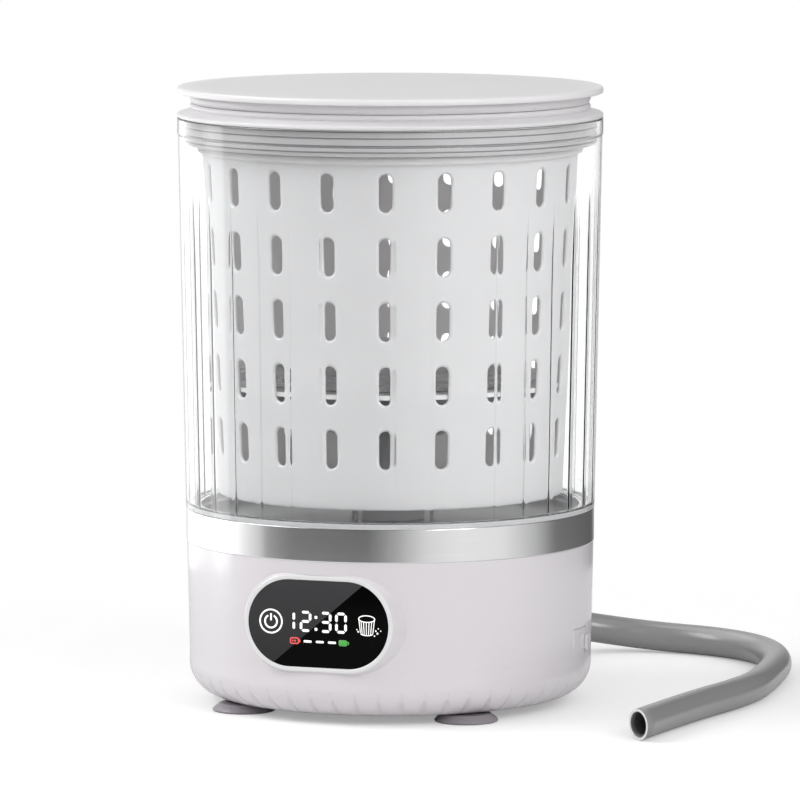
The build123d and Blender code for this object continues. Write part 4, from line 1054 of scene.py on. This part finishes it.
def cell_sign(u, w, length, height, filled, width=0.75):
    """Battery sign with a nub: a solid block, or an outline with two bars inside. A pill's
    points are pushed out to rounded corners by the power 0.55 of their share of each half."""
    half = np.array([length, height]) / 2
    points, _ = pill(length, height, 48)
    outline = np.sign(points) * np.abs(points / half) ** 0.55 * half
    tiles = []
    if filled:
        tiles.append(slab(u + outline[:, 0], w + outline[:, 1]))
    else:
        tiles.append(stroke(u + outline[:, 0], w + outline[:, 1], width, True))
        for place in (-1.1, 0.4):
            tiles.append(slab(u + place + np.array([-0.5, 0.5, 0.5, -0.5]),
                              w + np.array([-1, -1, 1, 1]) * (height / 2 - 1.1)))
    tiles.append(slab(u + length / 2 + 0.75 + np.array([-0.45, 0.35, 0.35, -0.45]),
                      w + np.array([-0.85, -0.85, 0.85, 0.85])))
    return tiles


# power sign: a ring round an open arc with an upright stroke
power_u = -29.1
white_tiles = [
    stroke(*arc(power_u, 0.5, 6.75, 0, 360 - 360 / 64, 64), 0.95, True),
    stroke(*arc(power_u, 0.4, 3.7, 118, 422), 1.05),
    stroke(np.full(5, power_u), np.linspace(0.9, 5.0, 5), 1.05),
]
# digits with two dots between them, and dashes below
for number, u in ((1, -17.8), (2, -7.75), (3, 4.6), (0, 14.05)):
    white_tiles += digit(number, u, 1.3)
white_tiles += [dot(-1.35, 3.9, 0.85), dot(-1.35, -3.0, 0.85)]
for u in (-6.5, 1.0, 8.5):
    white_tiles.append(soft_bar(u, -10.3, 5.0, 1.35))
# tub sign: an open drum with staves, and drops beside its foot
tub_u = 29.8
white_tiles.append(stroke(*oval(tub_u, 4.4, 4.9, 1.9, 0, 360 - 360 / 40, 40), 0.6, True))
white_tiles.append(stroke(*oval(tub_u, -4.0, 3.7, 1.2, 185, 355, 24), 0.55))
for share in (-1.0, -0.72, -0.4, -0.05, 0.3, 0.64, 1.0):
    drop = 1.9 * np.sqrt(1 - share**2)
    stave_u = np.linspace(tub_u + 4.8 * share, tub_u + 3.75 * share, 5)
    stave_w = np.linspace(4.2 - drop, -3.9 - 0.6 * drop, 5)
    white_tiles.append(stroke(stave_u, stave_w, 0.5))
drops = ((23.8, -2.0, 0.4), (24.6, -3.2, 0.5), (35.4, -2.3, 0.5), (36.9, -0.9, 0.4),
         (36.4, -3.7, 0.6), (38.4, -2.2, 0.4), (34.6, -5.2, 0.45))
for u, w, size in drops:
    white_tiles.append(slab(*arc(u, w, size, 0, 330, 12)))
skin("lit_signs", white_tiles, sign_white, "machine", merge=1e-8)
skin("low_sign", cell_sign(-14.6, -10.2, 5.0, 3.2, False), sign_red, "machine", merge=1e-8)
skin("full_sign", cell_sign(15.2, -10.3, 5.2, 3.5, True), sign_green, "machine", merge=1e-8)

# ---------------------------------------------------------------- floor, world and lamps


def studio_floor():
    """Pale floor: a disc that shows its lit shade near the machine and plain white further off."""
    outline = np.stack((np.linspace(0, 620, 60), np.zeros(60)), -1)
    grid, faces = turned(outline, 96, closed=False)
    mesh = bpy.data.meshes.new("floor")
    mesh.from_pydata((grid.reshape(-1, 3) * MM).tolist(), [], faces.tolist())
    made, tree, shader = blank("floor_pale")
    place = own_place(tree)
    grain = add(tree, "TexNoise", Vector=place, Scale=30.0, Detail=4.0)
    tone = ramp(tree, grain.outputs["Fac"], [(0.3, 0.79), (0.7, 0.81)])
    join(tree, tone, shader.inputs["Base Color"])
    shader.inputs["Roughness"].default_value = 0.9
    shader.inputs["Specular IOR Level"].default_value = 0.0
    lift = add(tree, "Emission", Color=(1, 1, 1, 1), Strength=0.30)
    both = add(tree, "AddShader", in_0=shader.outputs[0], in_1=lift.outputs[0])
    away = add(tree, "VectorMath", "LENGTH", in_0=place)
    far = add(tree, "MapRange", Value=away.outputs["Value"], From_Min=0.30, From_Max=0.60)
    plain = add(tree, "Emission", Color=(1, 1, 1, 1), Strength=1.0)
    seen = add(tree, "MixShader", in_0=far.outputs[0], in_1=both.outputs[0], in_2=plain.outputs[0])
    rays = tree.nodes.new("ShaderNodeLightPath")
    eye_or_glass = add(tree, "Math", "MAXIMUM", in_0=rays.outputs["Is Camera Ray"],
                       in_1=rays.outputs["Is Transmission Ray"])
    shown = add(tree, "MixShader", in_0=eye_or_glass.outputs[0], in_1=shader.outputs[0],
                in_2=seen.outputs[0])
    join(tree, shown.outputs[0], tree.nodes["Material Output"].inputs["Surface"])
    mesh.materials.append(made)
    put("floor", mesh)


def studio_world(front):
    """Plain even light, white behind the object, and a studio of pale and dark walls for gloss
    and glass. The walls go by the azimuth of the ray about the upright axis, where front is
    the azimuth of the middle of the scene's open side. Gloss has a ceiling as well: rays that
    go up see the darker of the wall and a shade by their height."""
    world = bpy.data.worlds.new("studio")
    world.use_nodes = True
    tree = world.node_tree
    tree.nodes.clear()
    ray = tree.nodes.new("ShaderNodeTexCoord").outputs["Generated"]
    ahead = add(tree, "VectorMath", "DOT_PRODUCT", in_0=ray, in_1=(sin(front), -cos(front), 0))
    aside = add(tree, "VectorMath", "DOT_PRODUCT", in_0=ray, in_1=(cos(front), sin(front), 0))
    turn = add(tree, "Math", "ARCTAN2", in_0=aside.outputs["Value"], in_1=ahead.outputs["Value"])
    share = add(tree, "MapRange", Value=turn.outputs[0], From_Min=-pi, From_Max=pi)

    def walls(stops):
        """Shade of the walls from (azimuth in degrees, shade) stops."""
        return ramp(tree, share.outputs[0], [(0.5 + a / 360, v) for a, v in stops])

    gloss = walls([(-180, 0.3), (-168, 0.35), (-156, 0.9), (-124, 0.9), (-114, 2.0),
                   (-105, 1.9), (-101, 0.66), (-90, 0.46), (-77, 0.30), (-75, 0.17),
                   (-58, 0.085), (-12, 0.065), (4, 0.19), (20, 0.36), (40, 0.43),
                   (66, 0.41), (90, 0.24), (106, 0.08), (160, 0.05), (175, 0.3)])
    up = add(tree, "SeparateXYZ", Vector=ray).outputs["Z"]
    ceiling = ramp(tree, up, [(0.0, 5.0), (0.06, 0.35), (0.3, 0.35), (0.6, 1.1)])
    gloss = blend(tree, 1.0, gloss, ceiling, "DARKEN")
    glass_walls = walls([(-180, 1.0), (-152, 1.0), (-140, 0.3), (-132, 0.10), (-100, 0.08),
                         (-90, 0.4), (-10, 0.35), (30, 0.6), (110, 0.6), (140, 1.0)])
    rays = tree.nodes.new("ShaderNodeLightPath")
    # a ray through glass counts as glossy too, so glass comes after gloss
    held = add(tree, "Background", Color=(1, 1, 1, 1), Strength=0.6).outputs[0]
    for flag, colour, strength in (("Is Glossy Ray", gloss, 2.0),
                                   ("Is Transmission Ray", glass_walls, 1.45),
                                   ("Is Camera Ray", (1, 1, 1, 1), 1.0)):
        light = add(tree, "Background", Color=colour, Strength=strength).outputs[0]
        held = add(tree, "MixShader", in_0=rays.outputs[flag], in_1=held, in_2=light).outputs[0]
    out = tree.nodes.new("ShaderNodeOutputWorld")
    join(tree, held, out.inputs["Surface"])
    scene.world = world


lamp_aim = 0.18


def lamp(name, azimuth, elevation, distance, size, power):
    """Soft square lamp at that azimuth from -Y towards +X, turned to the machine's middle."""
    light = bpy.data.lights.new(name, "AREA")
    light.shape = "SQUARE"
    light.size = size
    light.energy = power
    a, e = radians(azimuth), radians(elevation)
    away, up = distance * cos(e), distance * sin(e)
    spot = put(name, light)
    spot.location = (away * sin(a), -away * cos(a), lamp_aim + up)
    spot.rotation_euler = (radians(90) - e, 0, a)


studio_floor()
studio_world(radians(camera_turn))
lamp("key", -62.0, 36.0, 2.2, 1.3, 21.0)
lamp("fill", 56.0, 26.0, 2.4, 1.0, 16.0)
